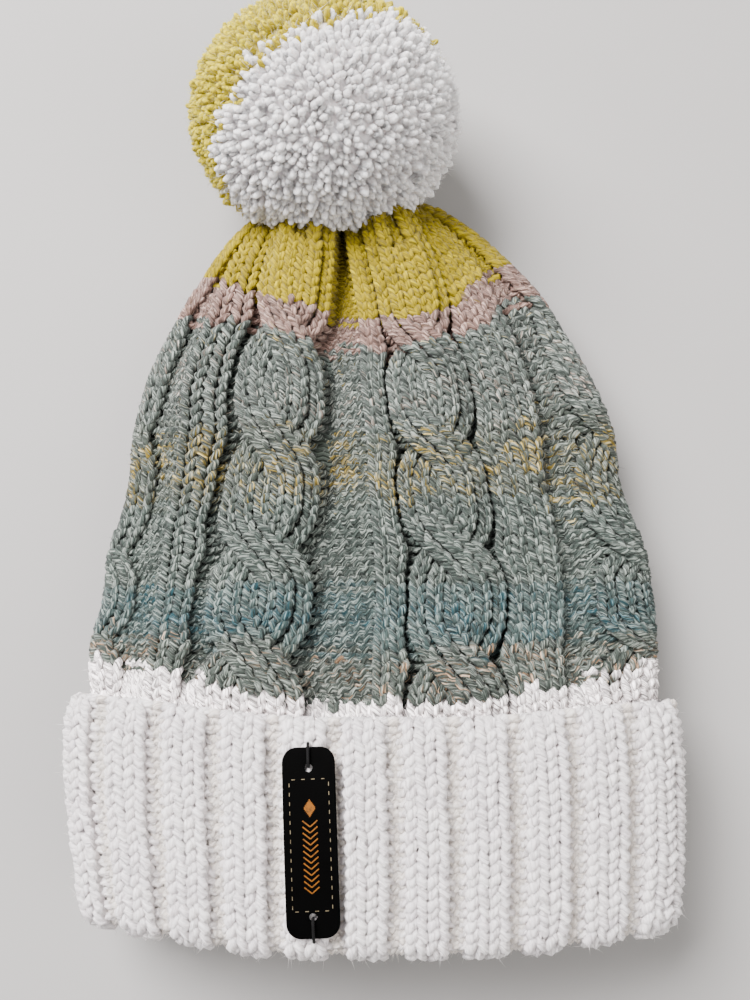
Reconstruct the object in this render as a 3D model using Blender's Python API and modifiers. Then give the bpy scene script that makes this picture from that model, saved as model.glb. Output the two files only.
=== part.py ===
"""A hand-knitted bobble hat in cable knit, lying on its back.

+Y runs from the mouth of the hat to its pompom, +X to the wearer's side and +Z up from the
surface that the hat lies on. The crown is one hollow knitted shell, drawn together round an
eyelet under the pompom. The cuff is the ribbed band below it, turned up once, so that it has
two layers. All lengths are metres.
"""

import math
from collections import namedtuple

import bmesh
import bpy
import numpy as np
from mathutils import Matrix, Vector

# Body of the hat, mouth to gathered top
BODY_LENGTH = 0.240
BODY_WIDTH = 0.181
BODY_HEIGHT = 0.037
WALL = 0.0048
SECTION_POWER = 2.5

# Ribbed cuff, turned up once
CUFF_DEPTH = 0.0672
INNER_LAYER_SHOWS = 0.004
TURN_UP_GAP = 0.0009
CUFF_BULGE = 0.0012
CUFF_RIBS = 22
RIB_RELIEF = 0.0011

# Knitted relief of the crown
ROW_HEIGHT = 0.003
CABLE_ROWS = 11.0
FIRST_CROSSING_ROW = 4.5
CABLE_RISE = 0.0024
CABLE_TWIST = 0.0013
CABLE_HALF = 3.0
KNIT_RISE = 0.0012
PURL_SINK = 0.0009
FACET_ROWS = 2.75
INNER_FACET_ROWS = 7.0

# Gathered top and what ties the pompom to it
EYELET_RADIUS = 0.0032
TIE_RADIUS = 0.0021
TIE_REACH = 0.020
KNOT_RADIUS = 0.0058

# Pompom, and how it sits against the gathered top
POMPOM_WIDTH = 0.090
POMPOM_LENGTH = 0.080
POMPOM_HEIGHT = 0.077
POMPOM_OVERLAP = 0.0165
POMPOM_ASIDE = -0.0175
POMPOM_SETTLE = 0.0020
POMPOM_LOCKS = 300
LOCK_DEPTH = 0.0042
YELLOW_SIDE = Vector((-0.551, 0.721, -0.420))
YELLOW_OFFSET = -0.0049

# Sewn-on label of black leatherette
LABEL_LENGTH = 0.052
LABEL_WIDTH = 0.0152
LABEL_THICK = 0.0011
LABEL_CORNER = 0.0042
LABEL_HOLE_RADIUS = 0.0012
LABEL_HOLE_INSET = 0.0058
LABEL_ABOVE_MOUTH = 0.0072
LABEL_ASIDE = -0.0187
LABEL_TURN = math.radians(2.4)
THREAD_RADIUS = 0.00045

GAP = 0.0003

STATIONS = 260
AROUND = 420
LOCK_SEED = 7

# One row for each cross-section of the body: how far along it is, half its width, half its
# height, how far its middle lies to the side and above the surface, and how far the turned-up
# layer under it lifts it.
Section = namedtuple("Section", "name along width height aside middle lifted")
SECTIONS = (
    Section("mouth", 0.000, 0.950, 0.98, 0.000, 0.93, 1.0),
    Section("cuff_middle", 0.132, 0.968, 1.02, 0.000, 0.95, 1.0),
    Section("cuff_edge", 0.285, 0.985, 1.00, -0.005, 0.95, 1.0),
    Section("above_cuff", 0.352, 0.975, 0.99, -0.005, 0.94, 0.7),
    Section("flank", 0.428, 0.975, 0.98, 0.003, 0.93, 0.1),
    Section("middle", 0.500, 0.951, 0.98, 0.000, 0.92, 0.0),
    Section("waist", 0.581, 0.894, 0.97, -0.003, 0.92, 0.0),
    Section("upper", 0.663, 0.867, 0.95, -0.006, 0.91, 0.0),
    Section("shoulder", 0.729, 0.828, 0.94, -0.013, 0.90, 0.0),
    Section("bend", 0.821, 0.708, 0.92, -0.017, 0.88, 0.0),
    Section("slope", 0.903, 0.569, 0.87, -0.030, 0.84, 0.0),
    Section("gather_start", 0.956, 0.428, 0.78, -0.042, 0.82, 0.0),
    Section("gather", 0.990, 0.286, 0.60, -0.054, 0.84, 0.0),
    Section("gather_top", 1.000, 0.138, 0.36, -0.064, 0.88, 0.0),
)

# The crown's panels, from its left edge over the front to its right edge and back underneath:
# what their stitches do, how many there are, their width in millimetres on a half of the hat
# spread out flat, and where the panel's middle line lies, as a share of its width. The cables
# at the two edges are in two parts, with the middle line between them.
Panel = namedtuple("Panel", "kind stitches width middle")
FRONT_PANELS = (
    Panel("cable", 3, 16.0, 0.0),
    Panel("purl", 4, 14.5, 0.5),
    Panel("knit", 2, 11.3, 0.5),
    Panel("purl", 2, 5.3, 0.5),
    Panel("cable", 6, 26.4, 0.5),
    Panel("purl", 6, 26.0, 0.5),
    Panel("knit", 2, 9.0, 0.5),
    Panel("purl", 1, 2.6, 0.5),
    Panel("cable", 6, 25.5, 0.5),
    Panel("purl", 1, 2.6, 0.5),
    Panel("knit", 4, 17.0, 0.5),
    Panel("purl", 3, 14.0, 0.5),
    Panel("cable", 4, 22.0, 1.0),
)
BACK_PANELS = (
    Panel("cable", 4, 22.0, 0.0),
    Panel("purl", 4, 17.0, 0.5),
    Panel("knit", 2, 9.0, 0.5),
    Panel("purl", 1, 2.6, 0.5),
    Panel("cable", 6, 26.0, 0.5),
    Panel("purl", 5, 21.0, 0.5),
    Panel("knit", 2, 9.0, 0.5),
    Panel("purl", 1, 2.6, 0.5),
    Panel("cable", 6, 26.0, 0.5),
    Panel("purl", 1, 2.6, 0.5),
    Panel("knit", 2, 9.0, 0.5),
    Panel("purl", 4, 17.0, 0.5),
    Panel("knit", 2, 9.0, 0.5),
    Panel("purl", 1, 4.0, 0.5),
    Panel("cable", 3, 16.0, 1.0),
)
PANELS = FRONT_PANELS + BACK_PANELS
CROWN_STITCHES = sum(panel.stitches for panel in PANELS)
CUFF_STITCHES = 4 * CUFF_RIBS

Finish = namedtuple("Finish", "colour roughness")
FINISHES = {
    "heather_yarn": Finish((0.165, 0.215, 0.195, 1.0), 0.85),
    "white_yarn": Finish((0.86, 0.85, 0.85, 1.0), 0.9),
    "yellow_yarn": Finish((0.52, 0.43, 0.07, 1.0), 0.85),
    "leatherette": Finish((0.008, 0.008, 0.009, 1.0), 0.45),
    "thread": Finish((0.01, 0.01, 0.011, 1.0), 0.7),
}


def smooth_step(low, high, value):
    """0 below low, 1 above high, and a smooth ramp between them."""
    share = np.clip((value - low) / (high - low), 0.0, 1.0)
    return share * share * (3 - 2 * share)


def spline_through(points, samples):
    """Catmull-Rom curve through the rows of points, sampled evenly along its own length."""
    steps = np.linalg.norm(np.diff(points[:, :3], axis=0), axis=1)
    knots = np.concatenate([[0.0], np.cumsum(steps)])
    slopes = np.gradient(points, knots, axis=0)
    at = np.linspace(0.0, knots[-1], samples)
    left = np.clip(np.searchsorted(knots, at, side="right") - 1, 0, len(steps) - 1)
    span = steps[left]
    t = ((at - knots[left]) / span)[:, None]
    start, end = points[left], points[left + 1]
    return (
        (2 * t**3 - 3 * t**2 + 1) * start
        + (t**3 - 2 * t**2 + t) * span[:, None] * slopes[left]
        + (3 * t**2 - 2 * t**3) * end
        + (t**3 - t**2) * span[:, None] * slopes[left + 1]
    )


def body_profile():
    """Rows of (y, half width, half height, x of the middle, z of the middle) along the body."""
    half_width, half_height = BODY_WIDTH / 2, BODY_HEIGHT / 2
    lift = TURN_UP_GAP + WALL
    rows = [
        (
            s.along * BODY_LENGTH,
            s.width * half_width,
            s.height * half_height,
            s.aside * BODY_WIDTH,
            s.middle * half_height + s.lifted * lift,
        )
        for s in SECTIONS
    ]
    top = rows[-1]
    rows.append((top[0] - WALL, EYELET_RADIUS, EYELET_RADIUS, top[3], top[4]))
    return spline_through(np.array(rows), STATIONS)


def even_ring(half_width, half_height, power):
    """(x, z) of a superellipse at AROUND + 1 even steps of its length, starting at -X and going over the top."""
    angle = np.linspace(math.pi, -math.pi, 4 * AROUND + 1)
    x = half_width * np.sign(np.cos(angle)) * np.abs(np.cos(angle)) ** (2 / power)
    z = half_height * np.sign(np.sin(angle)) * np.abs(np.sin(angle)) ** (2 / power)
    run = np.concatenate([[0.0], np.cumsum(np.hypot(np.diff(x), np.diff(z)))])
    at = np.linspace(0.0, run[-1], AROUND + 1)
    return np.interp(at, run, x), np.interp(at, run, z)


class Body:
    """The smooth outer face of the single knitted layer, as a grid of points and normals."""

    def __init__(self):
        profile = body_profile()
        y, width, height, aside, middle = profile.T
        round_off = smooth_step(0.030, 0.012, width)
        power = SECTION_POWER + (2.0 - SECTION_POWER) * round_off
        rings = [even_ring(w, h, p) for w, h, p in zip(width, height, power)]
        self.points = np.empty((STATIONS, AROUND + 1, 3))
        self.points[..., 0] = aside[:, None] + np.array([ring[0] for ring in rings])
        self.points[..., 1] = y[:, None]
        self.points[..., 2] = middle[:, None] + np.array([ring[1] for ring in rings])
        along = np.gradient(self.points, axis=0)
        wrapped = np.concatenate([self.points[:, -2:-1], self.points, self.points[:, 1:2]], axis=1)
        across = (wrapped[:, 2:] - wrapped[:, :-2]) / 2
        normals = np.cross(across, along)
        normals[..., 1] *= smooth_step(0.55, 0.85, y / BODY_LENGTH)[:, None]
        self.normals = normals / np.linalg.norm(normals, axis=2, keepdims=True)
        steps = np.sqrt(np.diff(y) ** 2 + np.diff(height) ** 2 + (0.4 * np.diff(width)) ** 2)
        self.run = np.concatenate([[0.0], np.cumsum(steps)])
        self.y = y
        self.join_run = self.run_at(CUFF_DEPTH + INNER_LAYER_SHOWS)

    def run_at(self, y):
        """Length along the body at which it first reaches this y."""
        first = int(np.argmax(self.y))
        return float(np.interp(y, self.y[: first + 1], self.run[: first + 1]))

    def ring(self, run, share, offset):
        """Points at one length along the body and these shares round it, moved out by offset."""
        station = np.interp(run, self.run, np.arange(STATIONS))
        low = min(int(station), STATIONS - 2)
        part = station - low
        column = (share % 1.0) * AROUND
        left = np.minimum(column.astype(int), AROUND - 1)
        mix = (column - left)[:, None]

        def read(grid):
            row = (1 - part) * grid[low] + part * grid[low + 1]
            return (1 - mix) * row[left] + mix * row[left + 1]

        normal = read(self.normals)
        normal /= np.linalg.norm(normal, axis=1, keepdims=True)
        return read(self.points) + normal * np.asarray(offset).reshape(-1, 1)


def rested(points, lowest):
    """Soft cloth flattened where it rests: no point lies lower than this."""
    flat = points.copy()
    flat[:, 2] = np.maximum(flat[:, 2], lowest)
    return flat


def cable_height(across, row):
    """Relief of a rope cable of two strands that cross every CABLE_ROWS rows, the front one leaning left."""
    phase = math.pi * (row - FIRST_CROSSING_ROW + CABLE_ROWS / 2) / CABLE_ROWS
    strand_half = 1.75
    heights = []
    for side in (1.0, -1.0):
        centre = side * 1.4 * math.cos(phase)
        dome = np.sqrt(np.clip(1 - ((across - centre) / strand_half) ** 2, 0.0, 1.0))
        heights.append(np.where(dome > 0, CABLE_RISE * dome + side * CABLE_TWIST * math.sin(phase) * dome, 0.0))
    return np.maximum(heights[0], heights[1])


def panel_share(stitch):
    """Share of the way round at these stitches: each half of the hat holds its own panels at their widths."""
    edges, places = [0.0], [0.0]
    for panels in (FRONT_PANELS, BACK_PANELS):
        across = sum(panel.width for panel in panels)
        for panel in panels:
            edges.append(edges[-1] + panel.stitches)
            places.append(places[-1] + 0.5 * panel.width / across)
    return np.interp(stitch, edges, places)


def crown_relief(stitch, row, gathering):
    """How far the crown's face stands out at these stitches of one row."""
    height = np.zeros(len(stitch))
    start = 0.0
    for panel in PANELS:
        middle = start + panel.stitches * panel.middle
        half = panel.stitches * max(panel.middle, 1 - panel.middle)
        inside = (stitch >= start) & (stitch < start + panel.stitches)
        across = stitch[inside] - middle
        if panel.kind == "cable":
            height[inside] = cable_height(across * CABLE_HALF / half, row)
        elif panel.kind == "knit":
            height[inside] = KNIT_RISE * (1 - 0.5 * (across / half) ** 2)
        else:
            height[inside] = -PURL_SINK * (1 + gathering)
        start += panel.stitches
    return height * (1 + 0.4 * gathering)


def cuff_relief(stitch):
    """Two by two rib: two stitches out, two stitches in."""
    return RIB_RELIEF * np.where(np.mod(stitch, 4) < 2, 1.0, -1.0)


def loft_rings(name, rings, capped=False):
    """Faces through rings whose counts are equal or differ by a factor of two, closed round or capped."""
    points = np.concatenate(rings)
    starts = np.concatenate([[0], np.cumsum([len(ring) for ring in rings])])
    faces = [tuple(range(starts[0], starts[1])), tuple(range(starts[-2], starts[-1]))] if capped else []
    for index in range(len(rings) - 1 if capped else len(rings)):
        following = (index + 1) % len(rings)
        here, there = starts[index], starts[following]
        n, m = len(rings[index]), len(rings[following])
        if n == m:
            for i in range(n):
                j = (i + 1) % n
                faces += [(here + i, here + j, there + j), (here + i, there + j, there + i)]
            continue
        fine, coarse, few = (here, there, m) if n > m else (there, here, n)
        many = 2 * few
        for i in range(few):
            a, b, c = fine + 2 * i, fine + 2 * i + 1, fine + (2 * i + 2) % many
            d, e = coarse + i, coarse + (i + 1) % few
            faces += [(a, b, d), (b, e, d), (b, c, e)]
    mesh = bpy.data.meshes.new(name)
    mesh.from_pydata(points.tolist(), [], [tuple(int(i) for i in face) for face in faces])
    work = bmesh.new()
    work.from_mesh(mesh)
    bmesh.ops.recalc_face_normals(work, faces=work.faces)
    if work.calc_volume(signed=True) < 0:
        bmesh.ops.reverse_faces(work, faces=work.faces)
    work.to_mesh(mesh)
    work.free()
    return mesh


def shares(count, of_fine):
    """Stitch middles round the body, in stitches: every one, or every second or fourth."""
    step = of_fine // count
    return (np.arange(count) * step + 0.5 * step) if step > 1 else np.arange(count) + 0.5


def make_object(name, mesh, finish, collection):
    """One named piece with its own material."""
    piece = bpy.data.objects.new(name, mesh)
    material = bpy.data.materials.new(name)
    material.use_nodes = True
    shader = material.node_tree.nodes["Principled BSDF"]
    shader.inputs["Base Color"].default_value = FINISHES[finish].colour
    shader.inputs["Roughness"].default_value = FINISHES[finish].roughness
    material.diffuse_color = FINISHES[finish].colour
    piece.data.materials.clear()
    piece.data.materials.append(material)
    collection.objects.link(piece)
    return piece


def crown_face(body, clearance, reach):
    """Rings of the crown's outer face with its relief, over its last reach, moved out by clearance."""
    first = body.join_run + GAP
    last = body.run[-1]
    rings = []
    for run in np.linspace(first, last, int(round((last - first) / (FACET_ROWS * ROW_HEIGHT))) + 1):
        left = last - run
        if left > reach:
            continue
        count = CROWN_STITCHES if left > 0.030 else CROWN_STITCHES // 2
        count = CROWN_STITCHES // 4 if left < 0.004 else count
        stitch = shares(count, CROWN_STITCHES)
        row = (run - first) / ROW_HEIGHT
        gathering = float(smooth_step(0.070, 0.020, left))
        relief = crown_relief(stitch, row, gathering)
        relief *= smooth_step(0.002, 0.022, left) * smooth_step(-0.001, 0.003, run - first)
        points = body.ring(run, panel_share(stitch), relief + clearance)
        rings.append(rested(points, -clearance))
    return rings


def make_crown(body, collection):
    """The cabled crown: an outer face with the knitted relief, a plain inner face and an eyelet at the top."""
    first = body.join_run + GAP
    last = body.run[-1]
    outer = crown_face(body, 0.0, BODY_LENGTH)
    inner = []
    end = last - 1.3 * WALL
    for run in np.linspace(end, first, int(round((end - first) / (INNER_FACET_ROWS * ROW_HEIGHT))) + 1):
        left = end - run
        count = CROWN_STITCHES // 2 if left > 0.004 else CROWN_STITCHES // 4
        share = shares(count, CROWN_STITCHES) / CROWN_STITCHES
        inset = WALL * smooth_step(-0.002, 0.012, left)
        lowest = WALL if left > 0.004 else 0.0
        inner.append(rested(body.ring(run, share, np.full(count, -inset)), lowest))
    inner[0][:, 1] -= WALL
    return make_object("crown", loft_rings("crown", outer + inner), "heather_yarn", collection)


def cuff_path():
    """Stations round the turned-up cuff's section: (y, distance out from the body's face, rib share, share of stitches)."""
    fold = (2 * WALL + TURN_UP_GAP) / 2
    middle = TURN_UP_GAP / 2
    face = TURN_UP_GAP + WALL
    top, inner_top = CUFF_DEPTH, CUFF_DEPTH + INNER_LAYER_SHOWS
    path = [(top - 0.0002, TURN_UP_GAP + 0.15 * WALL, 0.3, 2), (top, face - 0.35 * WALL, 0.7, 1)]
    for share in (0.03, 0.12, 0.26, 0.42, 0.58, 0.74, 0.89):
        y = top - share * (top - fold)
        path.append((y, face + CUFF_BULGE * math.sin(math.pi * share), 1.0, 1))
    for angle in (80, 45, 10, -25, -60):
        turn = math.radians(angle)
        path.append((fold - fold * math.cos(turn), middle + fold * math.sin(turn), 1.0, 1))
    for y in (fold, 0.5 * top, inner_top):
        path.append((y, -WALL, 0.5, 2))
    path += [(inner_top, 0.0, 0.0, 2), (0.5 * top, 0.0, 0.0, 2), (fold + 0.002, 0.0, 0.0, 2)]
    path += [(fold + 0.002, TURN_UP_GAP, 0.0, 2), (0.5 * top, TURN_UP_GAP, 0.0, 2)]
    return path


def make_cuff(body, collection):
    """The white cuff: a band in two by two rib, turned up once, one solid with a narrow gap between its layers."""
    rings = []
    for y, out, ribbed, coarseness in cuff_path():
        count = CUFF_STITCHES // coarseness
        stitch = shares(count, CUFF_STITCHES)
        relief = ribbed * cuff_relief(stitch) * (1 if out > 0 else -1)
        points = body.ring(body.run_at(max(y, 0.0)), stitch / CUFF_STITCHES, out + relief)
        points[:, 1] = y
        above_floor = max(0.0, TURN_UP_GAP + WALL - max(out, -WALL)) if coarseness == 2 or out < 0 else 0.0
        rings.append(rested(points, above_floor))
    return make_object("cuff", loft_rings("cuff", rings), "white_yarn", collection)


def lock_ball(size, centre):
    """A soft ball of yarn ends: locks whose tips lie on an ellipsoid, with the hollows between them sunk in."""
    number = np.arange(POMPOM_LOCKS) + 0.5
    height = 1 - 2 * number / POMPOM_LOCKS
    turn = number * math.pi * (3 - math.sqrt(5))
    flat = np.sqrt(1 - height**2)
    tips = np.stack([flat * np.cos(turn), flat * np.sin(turn), height], axis=1)
    lengths = 1 + 0.02 * np.random.default_rng(LOCK_SEED).uniform(-1, 1, POMPOM_LOCKS)
    work = bmesh.new()
    for tip in tips:
        work.verts.new(tip)
    bmesh.ops.convex_hull(work, input=work.verts)
    bmesh.ops.recalc_face_normals(work, faces=work.faces)
    work.verts.ensure_lookup_table()
    for vertex, length in zip(work.verts, lengths):
        vertex.co *= length
    hollows = bmesh.ops.poke(work, faces=work.faces[:])["verts"]
    sink = 1 - 2 * LOCK_DEPTH / POMPOM_WIDTH
    for vertex in hollows:
        vertex.co = vertex.co.normalized() * sink
    bmesh.ops.scale(work, vec=size / 2, verts=work.verts)
    bmesh.ops.translate(work, vec=centre, verts=work.verts)
    for vertex in work.verts:
        vertex.co.z = max(vertex.co.z, 0.0)
    mesh = bpy.data.meshes.new("pompom")
    work.to_mesh(mesh)
    work.free()
    return mesh


def crown_cutter(body, collection):
    """A closed solid a gap larger than the crown's upper end, to seat the pompom against it."""
    rings = crown_face(body, 2 * GAP, 0.075)
    mesh = loft_rings("crown_cutter", rings, capped=True)
    return as_cutter(bpy.data.objects.new("crown_cutter", mesh), collection)


def as_cutter(piece, collection):
    """Marks a helper that only shapes other pieces."""
    for other in list(piece.users_collection):
        other.objects.unlink(piece)
    collection.objects.link(piece)
    piece.hide_render = True
    piece.display_type = "WIRE"
    return piece


def cut(piece, cutter, name):
    """Takes the cutter's space out of the piece."""
    modifier = piece.modifiers.new(name, "BOOLEAN")
    modifier.operation = "DIFFERENCE"
    modifier.object = cutter


def eyelet_centre(body):
    """Middle of the eyelet at the gathered top."""
    return Vector(body.points[-1, :-1].mean(axis=0))


def pompom_centre():
    """The pompom rests on the surface beside the gathered top, and lies a little over it."""
    return Vector(
        (
            POMPOM_ASIDE,
            BODY_LENGTH - POMPOM_OVERLAP + POMPOM_LENGTH / 2,
            POMPOM_HEIGHT / 2 - POMPOM_SETTLE,
        )
    )


def half_space_cutter(name, normal, point, collection):
    """A large box whose one face lies in the plane through point, on the side that normal leads to."""
    side = 3 * POMPOM_WIDTH
    work = bmesh.new()
    bmesh.ops.create_cube(work, size=side)
    mesh = bpy.data.meshes.new(name)
    work.to_mesh(mesh)
    work.free()
    box = bpy.data.objects.new(name, mesh)
    box.rotation_mode = "QUATERNION"
    box.rotation_quaternion = normal.to_track_quat("Z", "Y")
    box.location = point + normal * (side / 2)
    return as_cutter(box, collection)


def tie_socket(centre, reach, collection):
    """Cylinder that leaves room for the tie inside the pompom."""
    bpy.ops.mesh.primitive_cylinder_add(vertices=16, radius=TIE_RADIUS + GAP, depth=2 * (reach + GAP))
    socket = bpy.context.object
    socket.name = "tie_socket"
    socket.rotation_euler = (math.pi / 2, 0.0, 0.0)
    socket.location = centre
    return as_cutter(socket, collection)


def make_pompom(body, collection, cutters):
    """The two-coloured pompom: a white half and a yellow half, both trimmed round and tied in the middle."""
    centre = pompom_centre()
    size = Vector((POMPOM_WIDTH, POMPOM_LENGTH, POMPOM_HEIGHT))
    seat = crown_cutter(body, cutters)
    socket = tie_socket(eyelet_centre(body), TIE_REACH, cutters)
    normal = YELLOW_SIDE.normalized()
    split = centre + normal * YELLOW_OFFSET
    halves = (
        ("pompom_white", "white_yarn", normal, split - normal * GAP / 2),
        ("pompom_yellow", "yellow_yarn", -normal, split + normal * GAP / 2),
    )
    ball = lock_ball(size, centre)
    for name, finish, away, point in halves:
        half = make_object(name, ball.copy(), finish, collection)
        cut(half, half_space_cutter(name + "_plane", away, point, cutters), "other half")
        cut(half, seat, "seat on the crown")
        cut(half, socket, "room for the tie")


def make_tie(body, collection):
    """The plain cord that holds the pompom: a knot inside the crown and a neck through the eyelet."""
    knot_back = 0.0126
    profile = [(0.0, -knot_back), (0.6 * KNOT_RADIUS, -knot_back + 0.0012)]
    profile += [(KNOT_RADIUS, -0.0085), (0.75 * KNOT_RADIUS, -0.0062)]
    profile += [(TIE_RADIUS, -0.0052), (TIE_RADIUS, TIE_REACH - 0.0008), (0.6 * TIE_RADIUS, TIE_REACH), (0.0, TIE_REACH)]
    mesh = bpy.data.meshes.new("pompom_tie")
    points = [(radius, 0.0, height) for radius, height in reversed(profile)]
    mesh.from_pydata(points, [(i, i + 1) for i in range(len(points) - 1)], [])
    tie = make_object("pompom_tie", mesh, "white_yarn", collection)
    turned = tie.modifiers.new("turned", "SCREW")
    turned.steps = turned.render_steps = 14
    turned.use_merge_vertices = True
    turned.merge_threshold = 0.00001
    turned.use_smooth_shade = True
    tie.rotation_euler = (-math.pi / 2, 0.0, 0.0)
    tie.location = eyelet_centre(body)
    return tie


def cuff_crest(body, aside, y):
    """Highest point of the cuff's ribs at this x and y on the front."""
    stitch = np.linspace(0.0, CUFF_STITCHES / 2, 700)
    share = min(max((CUFF_DEPTH - y) / (CUFF_DEPTH - WALL), 0.0), 1.0)
    fold = (2 * WALL + TURN_UP_GAP) / 2
    out = TURN_UP_GAP + WALL + CUFF_BULGE * math.sin(math.pi * share)
    if y < fold:
        out = TURN_UP_GAP / 2 + math.sqrt(max(fold**2 - (fold - y) ** 2, 0.0))
    ring = body.ring(body.run_at(y), stitch / CUFF_STITCHES, np.full(len(stitch), out + RIB_RELIEF))
    return float(np.interp(aside, ring[:, 0], ring[:, 2]))


def label_middle():
    """x and y of the label's middle."""
    return LABEL_ASIDE, LABEL_ABOVE_MOUTH + LABEL_LENGTH / 2


def label_to_hat(body, along, across, up):
    """A point of the flat label, laid along the cuff's front and turned a little."""
    middle_x, middle_y = label_middle()
    x = middle_x + across * math.cos(LABEL_TURN) - along * math.sin(LABEL_TURN)
    y = middle_y + across * math.sin(LABEL_TURN) + along * math.cos(LABEL_TURN)
    axis_x = middle_x - along * math.sin(LABEL_TURN)
    reach = LABEL_WIDTH / 2
    left, right = cuff_crest(body, axis_x - reach, y), cuff_crest(body, axis_x + reach, y)
    crest = cuff_crest(body, axis_x, y) + (right - left) / (2 * reach) * (x - axis_x)
    return Vector((x, y, crest + GAP + up))


def circle_spline(curve, radius, along):
    """Adds a round hole to the label's flat outline."""
    spline = curve.splines.new("POLY")
    count = 12
    spline.points.add(count - 1)
    for index, point in enumerate(spline.points):
        turn = 2 * math.pi * index / count
        point.co = (radius * math.cos(turn), along + radius * math.sin(turn), 0.0, 1.0)
    spline.use_cyclic_u = True


def label_outline(curve):
    """Adds the label's rounded rectangle, its corners as arcs."""
    points = []
    arc_steps = 5
    for corner in range(4):
        sign_x, sign_y = ((1, 1), (-1, 1), (-1, -1), (1, -1))[corner]
        middle = (sign_x * (LABEL_WIDTH / 2 - LABEL_CORNER), sign_y * (LABEL_LENGTH / 2 - LABEL_CORNER))
        for step in range(arc_steps + 1):
            turn = math.pi / 2 * (corner + step / arc_steps)
            points.append((middle[0] + LABEL_CORNER * math.cos(turn), middle[1] + LABEL_CORNER * math.sin(turn)))
    spline = curve.splines.new("POLY")
    spline.points.add(len(points) - 1)
    for target, (x, y) in zip(spline.points, points):
        target.co = (x, y, 0.0, 1.0)
    spline.use_cyclic_u = True


def make_label(body, collection):
    """The black leatherette label: a flat plate with two holes, bent along the cuff."""
    curve = bpy.data.curves.new("label_outline", "CURVE")
    curve.dimensions = "2D"
    curve.fill_mode = "BOTH"
    curve.extrude = LABEL_THICK / 2
    label_outline(curve)
    for side in (1, -1):
        circle_spline(curve, LABEL_HOLE_RADIUS, side * (LABEL_LENGTH / 2 - LABEL_HOLE_INSET))
    flat = bpy.data.objects.new("label_flat", curve)
    collection.objects.link(flat)
    bpy.context.view_layer.update()
    mesh = bpy.data.meshes.new_from_object(flat.evaluated_get(bpy.context.evaluated_depsgraph_get()))
    bpy.data.objects.remove(flat)
    work = bmesh.new()
    work.from_mesh(mesh)
    bmesh.ops.remove_doubles(work, verts=work.verts, dist=0.00001)
    cross_lines = 9
    for index in range(1, cross_lines + 1):
        along = LABEL_LENGTH * (index / (cross_lines + 1) - 0.5)
        everything = work.verts[:] + work.edges[:] + work.faces[:]
        bmesh.ops.bisect_plane(work, geom=everything, dist=1e-7, plane_co=(0, along, 0), plane_no=(0, 1, 0))
    bmesh.ops.triangulate(work, faces=work.faces)
    for vertex in work.verts:
        across, along, up = vertex.co
        vertex.co = label_to_hat(body, along, across, up + LABEL_THICK / 2)
    bmesh.ops.recalc_face_normals(work, faces=work.faces)
    work.to_mesh(mesh)
    work.free()
    return make_object("label", mesh, "leatherette", collection)


def make_label_tie(body, name, end, collection):
    """Thread that holds one end of the label: up out of its hole, over its edge and down into the cuff."""
    rise = LABEL_THICK + THREAD_RADIUS + 2 * GAP
    hole = LABEL_LENGTH / 2 - LABEL_HOLE_INSET
    edge = LABEL_LENGTH / 2 + THREAD_RADIUS + 2 * GAP
    start = hole + LABEL_HOLE_RADIUS - THREAD_RADIUS - GAP
    route = ((start, 0.55 * LABEL_THICK), (start, rise), (start + 0.0016, rise + 0.0002), (edge - 0.0009, rise))
    route += ((edge, 0.5 * rise), (edge, 0.0002))
    curve = bpy.data.curves.new(name, "CURVE")
    curve.dimensions = "3D"
    curve.bevel_depth = THREAD_RADIUS
    curve.bevel_resolution = 1
    curve.use_fill_caps = True
    spline = curve.splines.new("POLY")
    spline.points.add(len(route) - 1)
    for point, (along, up) in zip(spline.points, route):
        place = label_to_hat(body, end * along, 0.0, up)
        point.co = (*place, 1.0)
    return make_object(name, curve, "thread", collection)


def centre_on_origin(hat):
    """Moves the whole hat so that its box stands centred on the origin."""
    bpy.context.view_layer.update()
    graph = bpy.context.evaluated_depsgraph_get()
    points = []
    for piece in hat.children:
        if piece.hide_render:
            continue
        evaluated = piece.evaluated_get(graph)
        points += [evaluated.matrix_world @ vertex.co for vertex in evaluated.to_mesh().vertices]
        evaluated.to_mesh_clear()
    low = [min(point[axis] for point in points) for axis in range(3)]
    high = [max(point[axis] for point in points) for axis in range(3)]
    hat.location = (-(low[0] + high[0]) / 2, -(low[1] + high[1]) / 2, -low[2])


def main():
    """Builds the hat in its own collection."""
    for old in list(bpy.data.objects):
        bpy.data.objects.remove(old)
    scene = bpy.context.scene
    scene.unit_settings.scale_length = 1.0
    pieces = bpy.data.collections.new("bobble_hat")
    cutters = bpy.data.collections.new("bobble_hat_cutters")
    scene.collection.children.link(pieces)
    scene.collection.children.link(cutters)
    body = Body()
    make_crown(body, pieces)
    make_cuff(body, pieces)
    make_pompom(body, pieces, cutters)
    make_tie(body, pieces)
    make_label(body, pieces)
    make_label_tie(body, "label_tie_top", 1, pieces)
    make_label_tie(body, "label_tie_bottom", -1, pieces)
    hat = bpy.data.objects.new("hat", None)
    pieces.objects.link(hat)
    for piece in list(pieces.objects):
        if piece is not hat:
            piece.parent = hat
    for helper in cutters.objects:
        helper.parent = hat
    centre_on_origin(hat)


main()
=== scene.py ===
"""A bobble hat knitted in cables, lying on its back: its yarn, pompom, label and threads.

Every row of knitting is a real yarn. The form of the hat is a smooth surface, the knitting
pattern is a height and a sideways shift on that surface, and each row of loops is one round
tube whose centre line follows both. All lengths are metres.
"""

from __future__ import annotations

import logging
import math
from dataclasses import dataclass, field
from enum import Enum
from typing import NamedTuple, Sequence

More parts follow.
